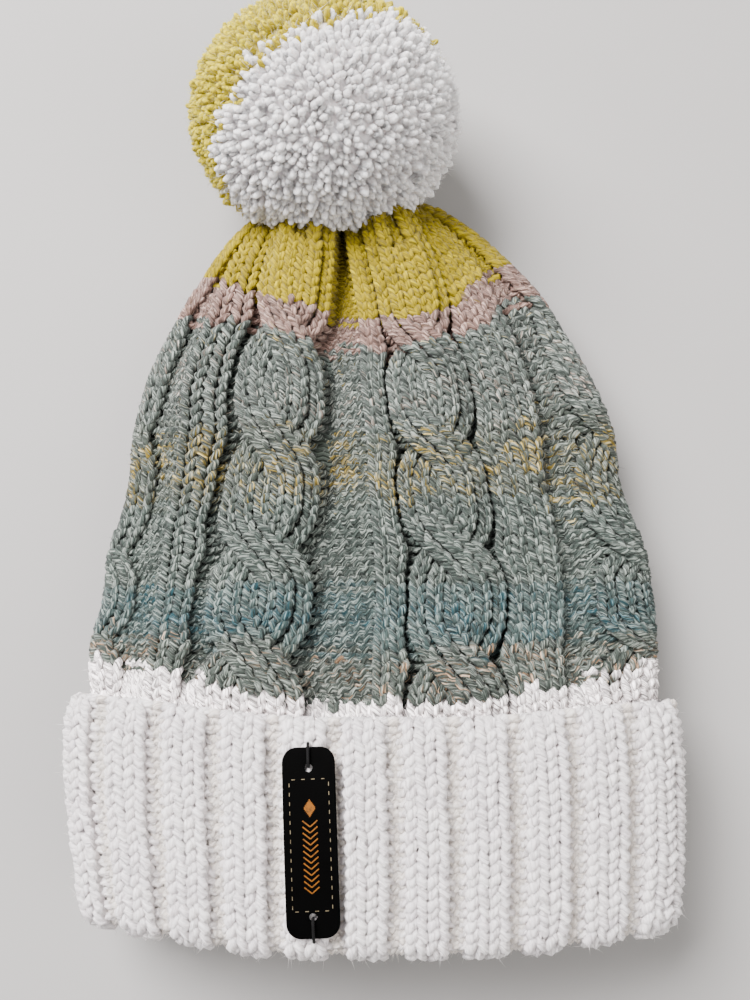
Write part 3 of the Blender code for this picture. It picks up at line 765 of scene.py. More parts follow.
@dataclass
class Crown(Knitting):
    """The cabled crown, from the white rows that show over the cuff to the gathered top.

    Attributes:
        first_crossing: row of the cables' first crossing.
        crossing_every: rows from one crossing to the next.
        crossing_reach: rows before and after it over which the strands swap places.
        last_crossing: row after which no cable crosses.
        knit_rise: height of the knit columns.
        purl_sink: depth of the purl panels.
        cable_rise: height of the cables.
        strand_rise: how much further the middle of a strand stands.
        over: how far the front strand stands up at a crossing.
        under: how far the other one goes down there.
        strand_sway: how far the strands sway, as a share of their even places.
        strand_width: their width, as a share of the stitches' own.
        crossing_width: how much of that they gain at a crossing.
        thin_purl: stitches from which a purl panel is more than a groove.
        top_inset: how far below the top of the surface the last row lies.
        edge_calm: how much of the relief the side edges of the hat lose.
        row_dip: how far the rows near the top sag in the middle.
        centre_sag: how far the rows by the cuff sag there.
        sag_bell: middle and width of that, as shares of the way round.
        white_rows: rows of white yarn under the first coloured one.
        end_white: how many rows higher the white reaches at both ends.
    """

    yarn_radius: float = 0.00131
    loop_depth: float = 0.00112
    end_shade: float = 0.5
    first_crossing: float = 4.2
    crossing_every: float = 10.9
    crossing_reach: float = 4.4
    last_crossing: float = 37.0
    knit_rise: float = 0.0018
    purl_sink: float = 0.0019
    cable_rise: float = 0.0040
    strand_rise: float = 0.0019
    over: float = 0.0016
    under: float = 0.0022
    strand_sway: float = 1.08
    strand_width: float = 1.04
    crossing_width: float = 0.40
    thin_purl: int = 3
    top_inset: float = 0.0035
    edge_calm: float = 0.66
    row_dip: float = 0.026
    centre_sag: float = 0.0035
    sag_bell: tuple[float, float] = (0.27, 0.10)
    white_rows: int = 2
    end_white: float = 1.7
    tints: tuple[YarnTint, ...] = (
        YarnTint(-9.0, "#F6EFEF", "#EADFE2", 0.0, 1.0),
        YarnTint(0.35, "#424B45", "#8E7054", 0.34, 1.0),
        YarnTint(5.0, "#3B4B49", "#1B424A", 0.38, 0.9),
        YarnTint(11.0, "#424D48", "#69736C", 0.18, 1.0),
        YarnTint(20.0, "#444C45", "#8A762A", 0.33, 1.0),
        YarnTint(27.0, "#4C5550", "#8F8074", 0.20, 1.0),
        YarnTint(34.3, "#4C5550", "#8F7A2C", 0.24, 1.0),
        YarnTint(36.3, "#81675E", "#705B26", 0.16, 0.7),
        YarnTint(39.7, "#978503", "#B5A40C", 0.22, 0.0),
    )
    start: float = field(init=False)
    last: float = field(init=False)

    def __post_init__(self) -> None:
        """Finds the surface and the number of rows."""
        self.surface = self.form.crown_middle()
        self.start = float(self.form.run_at(self.form.cuff_depth + self.form.inner_layer_shows))
        self.last = (self.surface.along[-1] - self.top_inset - self.start) / self.row_height

    def panel_counts(self, row: float) -> list[int]:
        """Stitches of each panel in one row, fewer after each round of decreases."""
        done = float(smooth_step(self.last - 20.0, self.last - 4.0, math.floor(row / 4) * 4))
        return [max(int(round(p.stitches + (p.gathered - p.stitches) * done)), 1) for p in PANELS]

    def columns(self, row: float) -> int:
        """Number of stitches in a row."""
        return sum(self.panel_counts(row))

    def panel_layout(self, row: float) -> tuple[Array, Array]:
        """Where panels start and how wide they are, as shares of the way round.

        Purl panels shrink to grooves towards the top, and each half of the hat keeps its share.

        Args:
            row: the row.

        Returns:
            Starts and widths.
        """
        narrowing = float(smooth_step(6.0, 34.0, row))
        shrink = float(smooth_step(self.last - 24.0, self.last - 10.0, row))
        width = np.array([p.width + (p.shoulder - p.width) * narrowing for p in PANELS])
        width = width * np.array([1 - 0.55 * shrink * (p.kind is PURL) for p in PANELS])
        end = len(FRONT_PANELS) - 1
        left, right = width[0] / 2, width[end] / 2
        front = width[1:end].sum() + left + right
        back = width[end + 1 :].sum() + left + right
        share = width / back / 2
        share[1:end] = width[1:end] / front / 2
        share[0] = left / front / 2 + left / back / 2
        share[end] = right / front / 2 + right / back / 2
        return np.cumsum(share) - share - left / back / 2, share

    def loops(self, row: float, column: Array, height: Array) -> Loops:
        """Reads the chart, with the crossing cables and the folds of the gathered top.

        Args:
            row: the row knitted.
            column: column numbers, which may run past either end.
            height: heights in rows at which to read.

        Returns:
            Share round, share width, height over the surface and face of each.
        """
        counts = np.array(self.panel_counts(row))
        starts, widths = self.panel_layout(row)
        total = int(counts.sum())
        turns = np.floor_divide(column, total)
        number = column - turns * total
        first = np.cumsum(counts) - counts
        panel = np.searchsorted(first, number, side="right") - 1
        stitches = counts[panel]
        offset = number - first[panel] - (stitches - 1) / 2
        kinds = np.array([[p.kind is kind for p in PANELS] for kind in StitchKind])
        is_knit, is_purl, is_cable = kinds[:, panel]
        pull = self.edge_pull(height)
        yielding = self.border_yield(counts, widths / counts)
        left = starts[panel] + pull * yielding[panel]
        right = starts[panel] + widths[panel] + pull * yielding[(panel + 1) % len(PANELS)]
        each = np.where(is_cable, widths[panel] / stitches, (right - left) / stitches)
        middle = np.where(is_cable, starts[panel] + widths[panel] / 2, (left + right) / 2)
        across, over = self.crossed(row, offset, height, stitches)
        offset = np.where(is_cable, across, offset)
        centre = middle + turns + offset * each
        dome = np.sqrt(np.clip(1 - (offset / (stitches / 2 + 0.45)) ** 2, 0.0, 1.0))
        relief = np.where(is_knit, self.knit_rise * (0.6 + 0.4 * dome), 0.0)
        relief = np.where(is_purl, -self.purl_sink * self.hollow(stitches, offset, height), relief)
        relief = np.where(is_cable, self.cable_rise * dome + over, relief)
        gathering = smooth_step(self.last - 24.0, self.last - 9.0, height)
        relief = relief * (1 + 0.9 * gathering) - 0.0020 * gathering * is_purl
        relief = relief * smooth_step(self.last + 1.0, self.last - 5.0, height)
        relief = relief * smooth_step(-3.0, 1.5, height)
        relief = relief * (1 - self.edge_calm * np.cos(FULL_TURN * centre) ** 8)
        return Loops(centre, each, relief, 1 - 2 * is_purl * smooth_step(0.2, 1.8, height))

    def hollow(self, stitches: Array, offset: Array, height: Array) -> Array:
        """How far purl panels sink: less towards their right side, and more beside crossings.

        Args:
            stitches: stitches of the panel.
            offset: stitches from its middle.
            height: heights in rows.

        Returns:
            Depths, as shares of the purl depth.
        """
        part = offset / stitches + 0.5
        slope = 1.25 - 0.85 * np.clip(part, 0.0, 1.0)
        slope = slope + (0.9 - 1.8 * np.clip(part, 0.0, 0.5)) * smooth_step(17.0, 25.0, height)
        return np.where(stitches < self.thin_purl, 1.35, slope) + 0.55 * self.nearness(height)[1]

    def nearness(self, height: Array) -> tuple[Array, Array]:
        """Rows to the nearest crossing, and the bell exp(-(rows / reach)^2) of them.

        Args:
            height: heights in rows.

        Returns:
            The rows, signed, and the bells.
        """
        nearest = np.rint((height - self.first_crossing) / self.crossing_every)
        crossing = self.first_crossing + nearest * self.crossing_every
        away = np.where(crossing > self.last_crossing, 99.0, height - crossing)
        return away, bell(away, 0.0, 0.75 * self.crossing_reach)

    def edge_pull(self, height: Array) -> Array:
        """How far a cable's edge lies outside its place, in quarters: in at crossings, out between.

        Args:
            height: heights in rows.

        Returns:
            The distances.
        """
        away, near = self.nearness(height)
        swing = np.abs(np.sin(math.pi * np.clip(away / (2 * self.crossing_reach), -0.5, 0.5)))
        return self.strand_sway * swing + self.strand_width + self.crossing_width * near - 2.0

    def border_yield(self, counts: Array, each: Array) -> Array:
        """How far each panel's left border gives way to a unit pull: fully by a cable, else less.

        Args:
            counts: stitches of each panel.
            each: width of a stitch in each panel.

        Returns:
            One signed share for each panel.
        """
        reach = counts / 4 * each * np.array([p.kind is CABLE for p in PANELS])
        thin = np.array([p.kind is PURL and p.stitches < self.thin_purl for p in PANELS])
        result = np.roll(reach, 1) - reach
        result += 0.5 * np.roll(thin, 1) * np.roll(reach, 2)
        return result - 0.5 * thin * np.roll(reach, -1) * (reach == 0) * (np.roll(reach, 1) == 0)

    def crossed(self, row: float, offset: Array, height: Array, stitches: Array) -> tuple[Array, Array]:
        """Rope cable: its right strand passes over its left one to the other side, again and again.

        Around a crossing the front strand's middle is at m cos(pi u) for u from 0 to 1, and the
        other's at the mirrored place.

        Args:
            row: the row knitted.
            offset: stitches from the cable's middle, as knitted.
            height: heights in rows.
            stitches: stitches of the cable.

        Returns:
            The shifted offsets, and how far each stitch stands over or under.
        """
        quarter = stitches / 4
        number = round((row - self.first_crossing) / self.crossing_every)
        crossing = self.first_crossing + number * self.crossing_every
        if crossing > self.last_crossing:
            crossing = self.last_crossing + 100.0
        side = np.where(offset > 0, 1.0, -1.0)
        front = (side > 0) != (row >= crossing)
        inside = offset - side * quarter
        way = np.clip((height - crossing) / (2 * self.crossing_reach) + 0.5, 0.0, 1.0)
        middle = np.where(front, 1.0, -1.0) * quarter * np.cos(math.pi * way)
        near = bell(height, crossing, 0.75 * self.crossing_reach)
        rounded = self.strand_rise * (1 - (inside / np.maximum(quarter, 0.5)) ** 2)
        over = np.where(front, self.over, -self.under) * near + rounded
        return self.strand_sway * middle + inside * (self.strand_width + self.crossing_width * near), over

    def place(self, share: Array, height: Array) -> tuple[Array, Array]:
        """Rows run straight across near the cuff and sag in the middle near the top.

        Args:
            share: shares of the way round.
            height: heights in rows.

        Returns:
            Points and normals.
        """
        level = np.sin(FULL_TURN * share) ** 2
        rise = smooth_step(14.0, self.last - 15.0, height)
        rise = rise * smooth_step(self.last + 1.0, self.last - 12.0, height)
        run = self.start + (height + 0.5) * self.row_height + self.row_dip * rise * (1 - level)
        sag = bell(np.mod(share, 1.0), *self.sag_bell) * smooth_step(14.0, 2.0, height)
        run = run - self.centre_sag * sag
        points, normals = self.surface.at(np.minimum(run, self.surface.along[-1] - 0.001), share)
        return self.form.bowed(points), normals

    def colour(self, row: float, share: Array, stitch: Array) -> Array:
        """Bands of the self-striping yarn, each with flecks a stitch or so long.

        Args:
            row: the row.
            share: shares of the way round.
            stitch: the same in stitches.

        Returns:
            Eight tint values at each point.
        """
        total = float(self.columns(row))
        rng = np.random.default_rng(self.seed * 7919 + int(row) + 900)
        if row > 4:
            stray = 1.8 * (lattice_noise(np.random.default_rng(5), share, 0.06, 1.0) - 0.5)
        else:
            stray = 1.5 * (lattice_noise(np.random.default_rng(8), share, 0.011, 1.0) - 0.5)
            stray = stray - self.end_white * np.cos(FULL_TURN * share) ** 6
        first = np.array([tint.first_row for tint in self.tints])
        following = np.append(first[1:], 99.0)
        last = len(first) - 1
        band = np.clip(np.searchsorted(first, row + stray, side="right") - 1, 0, last)
        blurred = row + 4.0 * (lattice_noise(rng, share, 0.03, 1.0) - 0.5)
        flecked = np.clip(np.searchsorted(first, blurred, side="right") - 1, 1, last)
        flecked = np.where(np.maximum(band, flecked) >= last - 1, band, flecked)
        ground = np.array([hex_to_linear(tint.ground) for tint in self.tints])[band]
        fleck = np.array([hex_to_linear(tint.fleck) for tint in self.tints])[flecked]
        coverage = np.array([tint.coverage for tint in self.tints])[flecked] * (band > 0)
        bleach = np.array([tint.bleach for tint in self.tints])[band]
        patches = lattice_noise(rng, stitch, 1.4, total)
        inside = np.minimum(blurred - first[flecked], following[flecked] - blurred)
        coverage = coverage * (0.2 + 1.5 * patches) * (0.25 + 0.75 * smooth_step(-0.5, 2.5, inside))
        shade = 0.80 + 0.40 * lattice_noise(rng, stitch, 0.8, total)[:, None]
        shade = np.where(band[:, None] == 0, 1.0, shade)
        return np.concatenate([ground * shade, fleck, coverage[:, None], bleach[:, None]], axis=1)

    def build(self) -> dict[str, Piece]:
        """Builds the yarn in three parts, and the ground behind it.

        Returns:
            Pieces by name.
        """
        rows = np.arange(-self.white_rows, int(self.last) + 1)
        third = len(rows) // 3
        parts = {"lower": rows[:third], "middle": rows[third : 2 * third], "upper": rows[2 * third :]}
        names = {part: f"crown_yarn_{part}" for part in parts}
        pieces = {names[part]: self.knit_rows(names[part], own) for part, own in parts.items()}
        heights = np.arange(-2.0, self.last - 0.5, 1.0)
        return pieces | {"crown_ground": self.ground("crown_ground", heights, 0.0011, 0.0019)}


@dataclass
class Cuff(Knitting):
    """The white cuff in two by two rib, from its cast-on edge round the fold and up inside.

    Attributes:
        rib_middles: middles of the four stitches of a rib, in stitches.
        rib_widths: their widths.
        fold_calm: share of the relief that the fold loses.
        corner_tuck: how far the fold's left corner is tucked in.
        tuck_aside: x from which and to which the tuck grows.
        tuck_fold: y from which and to which it does.
    """

    yarn_radius: float = 0.00150
    loop_depth: float = 0.0011
    end_shade: float = 0.10
    uneven: float = 0.36
    lumps: float = 0.09
    ribs: int = 22
    rib_relief: float = 0.0018
    inner_rows: int = 7
    fold_calm: float = 0.5
    corner_tuck: float = 0.0030
    tuck_aside: tuple[float, float] = (-0.028, -0.092)
    tuck_fold: tuple[float, float] = (-0.105, -0.150)
    rib_middles: tuple[float, ...] = (0.66, 1.98, 2.98, 3.66)
    rib_widths: tuple[float, ...] = (1.32, 1.32, 0.68, 0.68)
    white: str = "#F7F1F0"
    shade: str = "#E6DCE2"
    valley_painted_shade: str = "#E6DACB"
    fold_row: float = field(init=False)

    def __post_init__(self) -> None:
        """Finds the surface and the row at the fold."""
        self.surface = self.form.cuff_middle()
        fold = self.form.cuff_depth - self.form.edge_drop - self.form.wall
        radius = (self.form.wall + self.form.turn_up_gap) / 2
        self.fold_row = (fold + 0.5 * math.pi * radius) / self.row_height

    def columns(self, row: float) -> int:
        """Every row has the same number of stitches."""
        return 4 * self.ribs

    def loops(self, row: float, column: Array, height: Array) -> Loops:
        """Two stitches stand out and two lie back, all the way round.

        Args:
            row: the row knitted.
            column: column numbers, which may run past either end.
            height: heights in rows at which to read.

        Returns:
            Share round, share width, height over the surface and face of each.
        """
        total = self.columns(row)
        place = np.mod(column, 4)
        face = np.where(place < 2, 1.0, -1.0)
        middles, widths = np.array([self.rib_middles, self.rib_widths])
        calm = 1 - self.fold_calm * bell(height, self.fold_row, 1.8)
        relief = self.rib_relief * face * smooth_step(-1.0, 1.5, height) * calm
        return Loops((column - place + middles[place]) / total, widths[place] / total, relief, face)

    def place(self, share: Array, height: Array) -> tuple[Array, Array]:
        """Rows count from the cast-on edge, and two smooth steps tuck in the fold's left corner.

        Args:
            share: shares of the way round.
            height: rows up from the cast-on edge.

        Returns:
            Points and normals.
        """
        points, normals = self.surface.at(np.maximum((height + 0.5) * self.row_height, 0.0), share)
        x, y, _ = np.moveaxis(points, -1, 0)
        tuck = smooth_step(*self.tuck_aside, x) * smooth_step(*self.tuck_fold, y)
        return self.form.bowed(points) + tuck[..., None] * (self.corner_tuck * X_AXIS), normals

    def colour(self, row: float, share: Array, stitch: Array) -> Array:
        """White with a faint lilac cast here and there, and a painted cream shade in the sunk valleys
        between the ribs.

        Args:
            row: the row.
            share: shares of the way round.
            stitch: the same in stitches.

        Returns:
            Eight tint values at each point.
        """
        rng = np.random.default_rng(self.seed * 7919 + int(row) + 40)
        part = 0.6 * lattice_noise(rng, stitch, 1.2, float(self.columns(row)))[:, None]
        # Painted shade: the sunk purl columns between the ribs are tinted a darker cream.
        low = 0.7 * smooth_step(0.9, 1.5, np.abs(np.mod(stitch + 1.0, 4.0) - 2.0))[:, None]
        white = blend(hex_to_linear(self.white), hex_to_linear(self.shade), part)
        return plain_tint(blend(white, hex_to_linear(self.valley_painted_shade), low))

    def build(self) -> dict[str, Piece]:
        """Builds the yarn in two parts, and the ground behind it.

        Returns:
            Pieces by name.
        """
        last = int(self.fold_row) + self.inner_rows
        half = last // 2
        top = (self.surface.along[-1] / self.row_height) - 1.0
        return {
            "cuff_yarn_upper": self.knit_rows("cuff_yarn_upper", np.arange(0, half)),
            "cuff_yarn_lower": self.knit_rows("cuff_yarn_lower", np.arange(half, last + 1)),
            "cuff_ground": self.ground("cuff_ground", np.linspace(-0.3, top, 44), 0.0012, 0.0016),
        }


@dataclass
class Fuzz:
    """Loose fibres that stand out of the yarn: needles with three sides.

    Attributes:
        name: name of the piece.
        shortest: shortest fibre.
        longest: longest fibre.
        radius: radius at the root.
        spread: how far their directions turn away from the fabric's own.
        seed: start of its random numbers.
    """

    name: str
    shortest: float = 0.0015
    longest: float = 0.0045
    radius: float = 0.00006
    spread: float = 0.8
    seed: int = 31

    def grow(self, roots: Array, normals: Array, tints: Array) -> Piece:
        """One fibre from each root, mostly short: length = shortest + (longest - shortest) u^2.

        Args:
            roots: where the fibres leave the yarn.
            normals: direction out of the fabric at each.
            tints: eight tint values of each.

        Returns:
            The piece.
        """
        rng = np.random.default_rng(self.seed)
        count = len(roots)
        length = self.shortest + (self.longest - self.shortest) * rng.random(count) ** 2
        way = unit(normals * rng.uniform(0.15, 1.0, (count, 1)) + rng.normal(0, self.spread, (count, 3)))
        ring = roots[:, None] + self.radius * circle(*across_axis(way), 3)
        vertices = np.concatenate([ring, (roots + way * length[:, None])[:, None]], axis=1)
        vertices[..., 2] = np.maximum(vertices[..., 2], 0.0003)
        corners = np.array([[0, 1, 3], [1, 2, 3], [2, 0, 3], [2, 1, 0]])
        triangles = (4 * np.arange(count)[:, None, None] + corners).reshape(-1, 3)
        run = np.repeat(0.013 * np.arange(count), 4)[:, None] + np.array([[0.0, 0.0, 0.002]])
        uvs = np.stack([run, np.full(run.shape, 0.2)], axis=-1)
        shape = Shape(vertices, np.repeat(tints, 4, axis=0), triangles=triangles, triangle_uvs=uvs)
        return yarn_piece(self.name, UvKind.YARN, [shape])

    def on_knitting(self, fabric: Knitting, rows: Sequence[int], per_row: int, label: Label) -> Piece:
        """Fibres on rows of knitting, but none by the label.

        Args:
            fabric: the knitting.
            rows: its rows.
            per_row: fibres on each row.
            label: the label to keep clear of.

        Returns:
            The piece.
        """
        rng = np.random.default_rng(self.seed + 1)
        lines = [fabric.yarn_line(float(row)) for row in rows]
        picks = [rng.integers(0, len(line[0]), per_row) for line in lines]
        points, normals, tints = (
            np.concatenate([line[part][pick] for line, pick in zip(lines, picks)]) for part in range(3)
        )
        roots = points + normals * (0.5 * fabric.yarn_radius)
        clear = ~label.covers(roots, 0.6 * self.longest)
        # Painted light: fibres are paler than their yarn, as in a backlit halo; they keep the yarn's
        # painted shade.
        tints[:, :3] = 0.9 * tints[:, :3] + 0.045 * (0.3 + 0.7 * tints[:, 7:8])
        return self.grow(roots[clear], normals[clear], tints[clear])


@dataclass
class Pompom:
    """A ball of cut yarn ends, white on one side and yellow on the other.

    Attributes:
        middle: its centre in the frame.
        size: its full width, length and height.
        tufts: number of yarn ends.
        tip_radius: radius of a yarn end.
        yellow_side: direction of the yellow half, as seen with the frame's axes.
        yellow_offset: how far towards the white side the yellow begins.
        core_size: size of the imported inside, as a share.
        bleach: bleaching of the cut strands.
    """

    form: HatForm
    middle: Point = (-0.0175 + 0.000594, 0.2635 - 0.151928, 0.0365)
    size: Point = (0.090, 0.080, 0.077)
    tufts: int = 4400
    tip_radius: float = 0.00140
    yellow_side: Point = (-0.516, 0.767, -0.381)
    yellow_offset: float = -0.13
    white: str = "#FFF9F8"
    white_painted_shade: str = "#FAF1F2"
    yellow: str = "#B8A704"
    yellow_painted_shade: str = "#998903"
    core_size: float = 0.925
    bleach: float = 0.3
    fibres: int = 14000
    sides: int = 5
    seed: int = 23

    def directions(self) -> Array:
        """Even directions: height 1 - 2 i / n and a golden-angle turn, shaken a little.

        Returns:
            Unit vectors.
        """
        number = np.arange(self.tufts) + 0.5
        height = 1 - 2 * number / self.tufts
        turn = number * math.pi * (3 - math.sqrt(5))
        flat = np.sqrt(1 - height**2)
        even = np.stack([flat * np.cos(turn), flat * np.sin(turn), height], axis=1)
        return unit(even + np.random.default_rng(self.seed).normal(0.0, 0.012, even.shape))

    def inside_crown(self, points: Array) -> Array:
        """Whether points lie inside the crown's outer face, grown by a yarn's thickness.

        Args:
            points: points in the frame.

        Returns:
            One truth value for each.
        """
        rings = self.form.body.points
        centres = rings[:, :-1].mean(axis=1)
        width, _, height = (rings[:, :-1].max(axis=1) - centres).T
        order = np.argmax(rings[:, 0, 1]) + 1
        y, line = points[..., 1], rings[:order, 0, 1]
        lined = [np.interp(y, line, v[:order]) for v in (centres[:, 0], centres[:, 2], width, height)]
        across = (points[..., 0] - lined[0]) / (lined[2] + 0.003)
        upward = (points[..., 2] - lined[1]) / (lined[3] + 0.003)
        return (np.abs(across) ** 2.3 + np.abs(upward) ** 2.3 < 1) & (y < line.max() + 0.002)

    def build(self) -> dict[str, Piece]:
        """Builds both halves, the core and the loose fibres.

        Each end keeps the part of its length that lies outside the crown, and those that would
        be too short are left out.

        Returns:
            Pieces by name.
        """
        rng = np.random.default_rng(self.seed + 1)
        way = self.directions()
        half, middle = np.array(self.size) / 2, np.array(self.middle)
        side = way @ unit(np.array(self.yellow_side)) + 0.06 * rng.normal(0, 1, self.tufts)
        yellow = side > self.yellow_offset
        length = 0.985 + 0.010 * rng.normal(0, 1, self.tufts).clip(-2, 1.6)
        tips = middle + way * half * length[:, None]
        tips[:, 2] = soft_floor(tips[:, 2], 0.0016, 0.0012)
        shares = np.linspace(0.55, 1.0, 19)
        free = ~self.inside_crown(middle + (tips - middle)[:, None] * shares[None, :, None])
        reach = np.where(free[:, -1], 1.0, shares[np.argmax(free.cumprod(axis=1).cumsum(axis=1), axis=1)])
        kept = reach > 0.60
        pieces = {}
        # Each half's own colour for its tips, and its painted shade for deep in.
        for name, chosen, light, shade in (
            ("pompom_tufts_white", ~yellow & kept, self.white, self.white_painted_shade),
            ("pompom_tufts_yellow", yellow & kept, self.yellow, self.yellow_painted_shade),
        ):
            along = (tips[chosen] - middle) * reach[chosen, None]
            pieces[name] = self.tuft_piece(name, along, (shade, light), rng)
        pieces["pompom_core"] = self.core(middle, half)
        picked = rng.choice(np.flatnonzero(kept), self.fibres)
        axis = unit(tips[picked] - middle)
        roots = middle + (tips[picked] - middle) * reach[picked, None] - axis * 0.0008
        roots = roots + rng.normal(0, 0.0006, roots.shape)
        tints = np.where(yellow[picked, None], hex_to_linear(self.yellow), hex_to_linear(self.white))
        fibres = Fuzz("pompom_fuzz", 0.0016, 0.0046, 0.00009, 0.75, 41)
        pieces["pompom_fuzz"] = fibres.grow(roots, axis, plain_tint(tints, self.bleach))
        return pieces

    def tuft_piece(self, name: str, along: Array, colours: tuple[str, str], rng: Random) -> Piece:
        """Yarn ends: a bent round tube that swells towards its cut tip, closed there by a fan.

        The centre line is middle + along f + bend f^3, and the profile's radius swells by a
        lobed factor 1 + 0.16 cos(2 a + twist f).

        Args:
            name: name of the piece.
            along: from the middle to each end.
            colours: the painted shade colour deep in, and the colour at the tips.
            rng: source of the random numbers.

        Returns:
            The piece.
        """
        share, swell = np.array([[0.80, 0.95, 1.0], [0.80, 1.02, 0.62]])
        count, rings, sides = len(along), len(share), self.sides
        bend = rng.normal(0, 0.0006, (count, 3))
        centre = np.array(self.middle) + along[:, None] * share[:, None]
        centre = centre + bend[:, None] * (share**3)[:, None]
        axis = unit(along)
        angle = FULL_TURN * np.arange(sides) / sides
        size = self.tip_radius * (1 + 0.14 * rng.normal(0, 1, count).clip(-2, 2))
        phase = rng.uniform(0, FULL_TURN, count)
        lobe = 1 + 0.16 * np.cos(2 * angle + 9 * share[:, None] + phase[:, None, None])
        radius = size[:, None, None] * swell[:, None] * lobe
        first, second = across_axis(axis)
        tube = centre[:, :, None] + radius[..., None] * circle(first[:, None], second[:, None], sides)
        cap = centre[:, -1] + axis * (0.45 * size)[:, None]
        vertices = np.concatenate([tube.reshape(count, -1, 3), cap[:, None]], axis=1)
        vertices[..., 2] = np.maximum(vertices[..., 2], 0.0002)
        per = rings * sides + 1
        number = np.arange(count)[:, None, None]
        offset = np.array([0.09, 0.0]) * number[..., None]
        run, turn = share * 0.04, np.arange(sides + 1) / sides
        body, body_uvs = tube_faces(run, turn, False)
        around = np.arange(sides)
        last = (rings - 1) * sides
        fan = np.stack([last + around, last + (around + 1) % sides, np.full(sides, per - 1)], -1)
        rim = np.stack([np.full(sides, run[-1]), turn[:-1]], -1)
        fan_uvs = np.stack([rim, rim, np.array([[run[-1] + 0.0006, 0.5]] * sides)], axis=1)
        faces, corners = [], []
        for own, own_uvs, root in ((body, body_uvs, [4, 3, 2, 1]), (fan, fan_uvs, [4, 1, 0])):
            placed = (per * number + own).reshape(-1, len(root))
            faces.append(np.concatenate([placed, per * number[:, 0] + root]))
            moved = own_uvs + offset
            corners.append(np.concatenate([moved.reshape(-1, len(root), 2), moved[:, 0]]))
        deep = np.append(np.repeat(share, sides), 1.0)
        # Painted shade: each end is darker deep in the ball and takes its own colour towards the tip.
        part = smooth_step(0.70, 0.97, deep)[None, :, None] * (0.80 + 0.20 * rng.random((count, 1, 1)))
        tints = blend(*(hex_to_linear(code) for code in colours), part).reshape(-1, 3)
        tints = plain_tint(tints, self.bleach)
        shape = Shape(vertices, tints, faces[0], corners[0], faces[1], corners[1])
        return yarn_piece(name, UvKind.YARN, [shape])

    def core(self, middle: Array, half: Array) -> Piece:
        """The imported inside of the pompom: an ellipsoid of rings between poles along +Z.

        Args:
            middle: centre.
            half: half of its width, length and height.

        Returns:
            The piece.
        """
        rings, around = 24, 48
        polar = np.linspace(0.06, math.pi - 0.06, rings)[:, None]
        turn = FULL_TURN * np.arange(around) / around
        flat, up = np.sin(polar), np.cos(polar)
        way = np.stack([flat * np.cos(turn), flat * np.sin(turn), up + 0 * turn], -1)
        way = np.concatenate([way.reshape(-1, 3), [Z_AXIS, -Z_AXIS]])
        vertices = middle + self.core_size * half * way
        inside = self.inside_crown(vertices)[:, None]
        vertices = np.where(inside, middle + (vertices - middle) * 0.72, vertices)
        vertices[:, 2] = np.maximum(vertices[:, 2], 0.0015)
        quads = tube_faces(np.arange(rings), np.arange(around + 1), False)[0][:, [0, 3, 2, 1]]
        side = np.arange(around)
        following = (side + 1) % around
        top, last = rings * around, (rings - 1) * around
        upper = np.stack([side, following, np.full(around, top)], -1)
        lower = np.stack([last + following, last + side, np.full(around, top + 1)], -1)
        fans = np.concatenate([upper, lower])
        flat = np.stack([vertices[:, 0] + vertices[:, 2], vertices[:, 1] * 40], -1)
        side = unit((vertices - middle) / half) @ unit(np.array(self.yellow_side))
        # Painted shade: the core, deep in the ball, takes both halves' painted shade colours.
        colours = hex_to_linear(self.yellow_painted_shade), hex_to_linear(self.white_painted_shade)
        tints = np.where(side[:, None] > self.yellow_offset, *colours)
        shape = Shape(vertices, plain_tint(tints), quads, flat[quads], fans, flat[fans])
        return yarn_piece("pompom_core", UvKind.YARN, [shape])


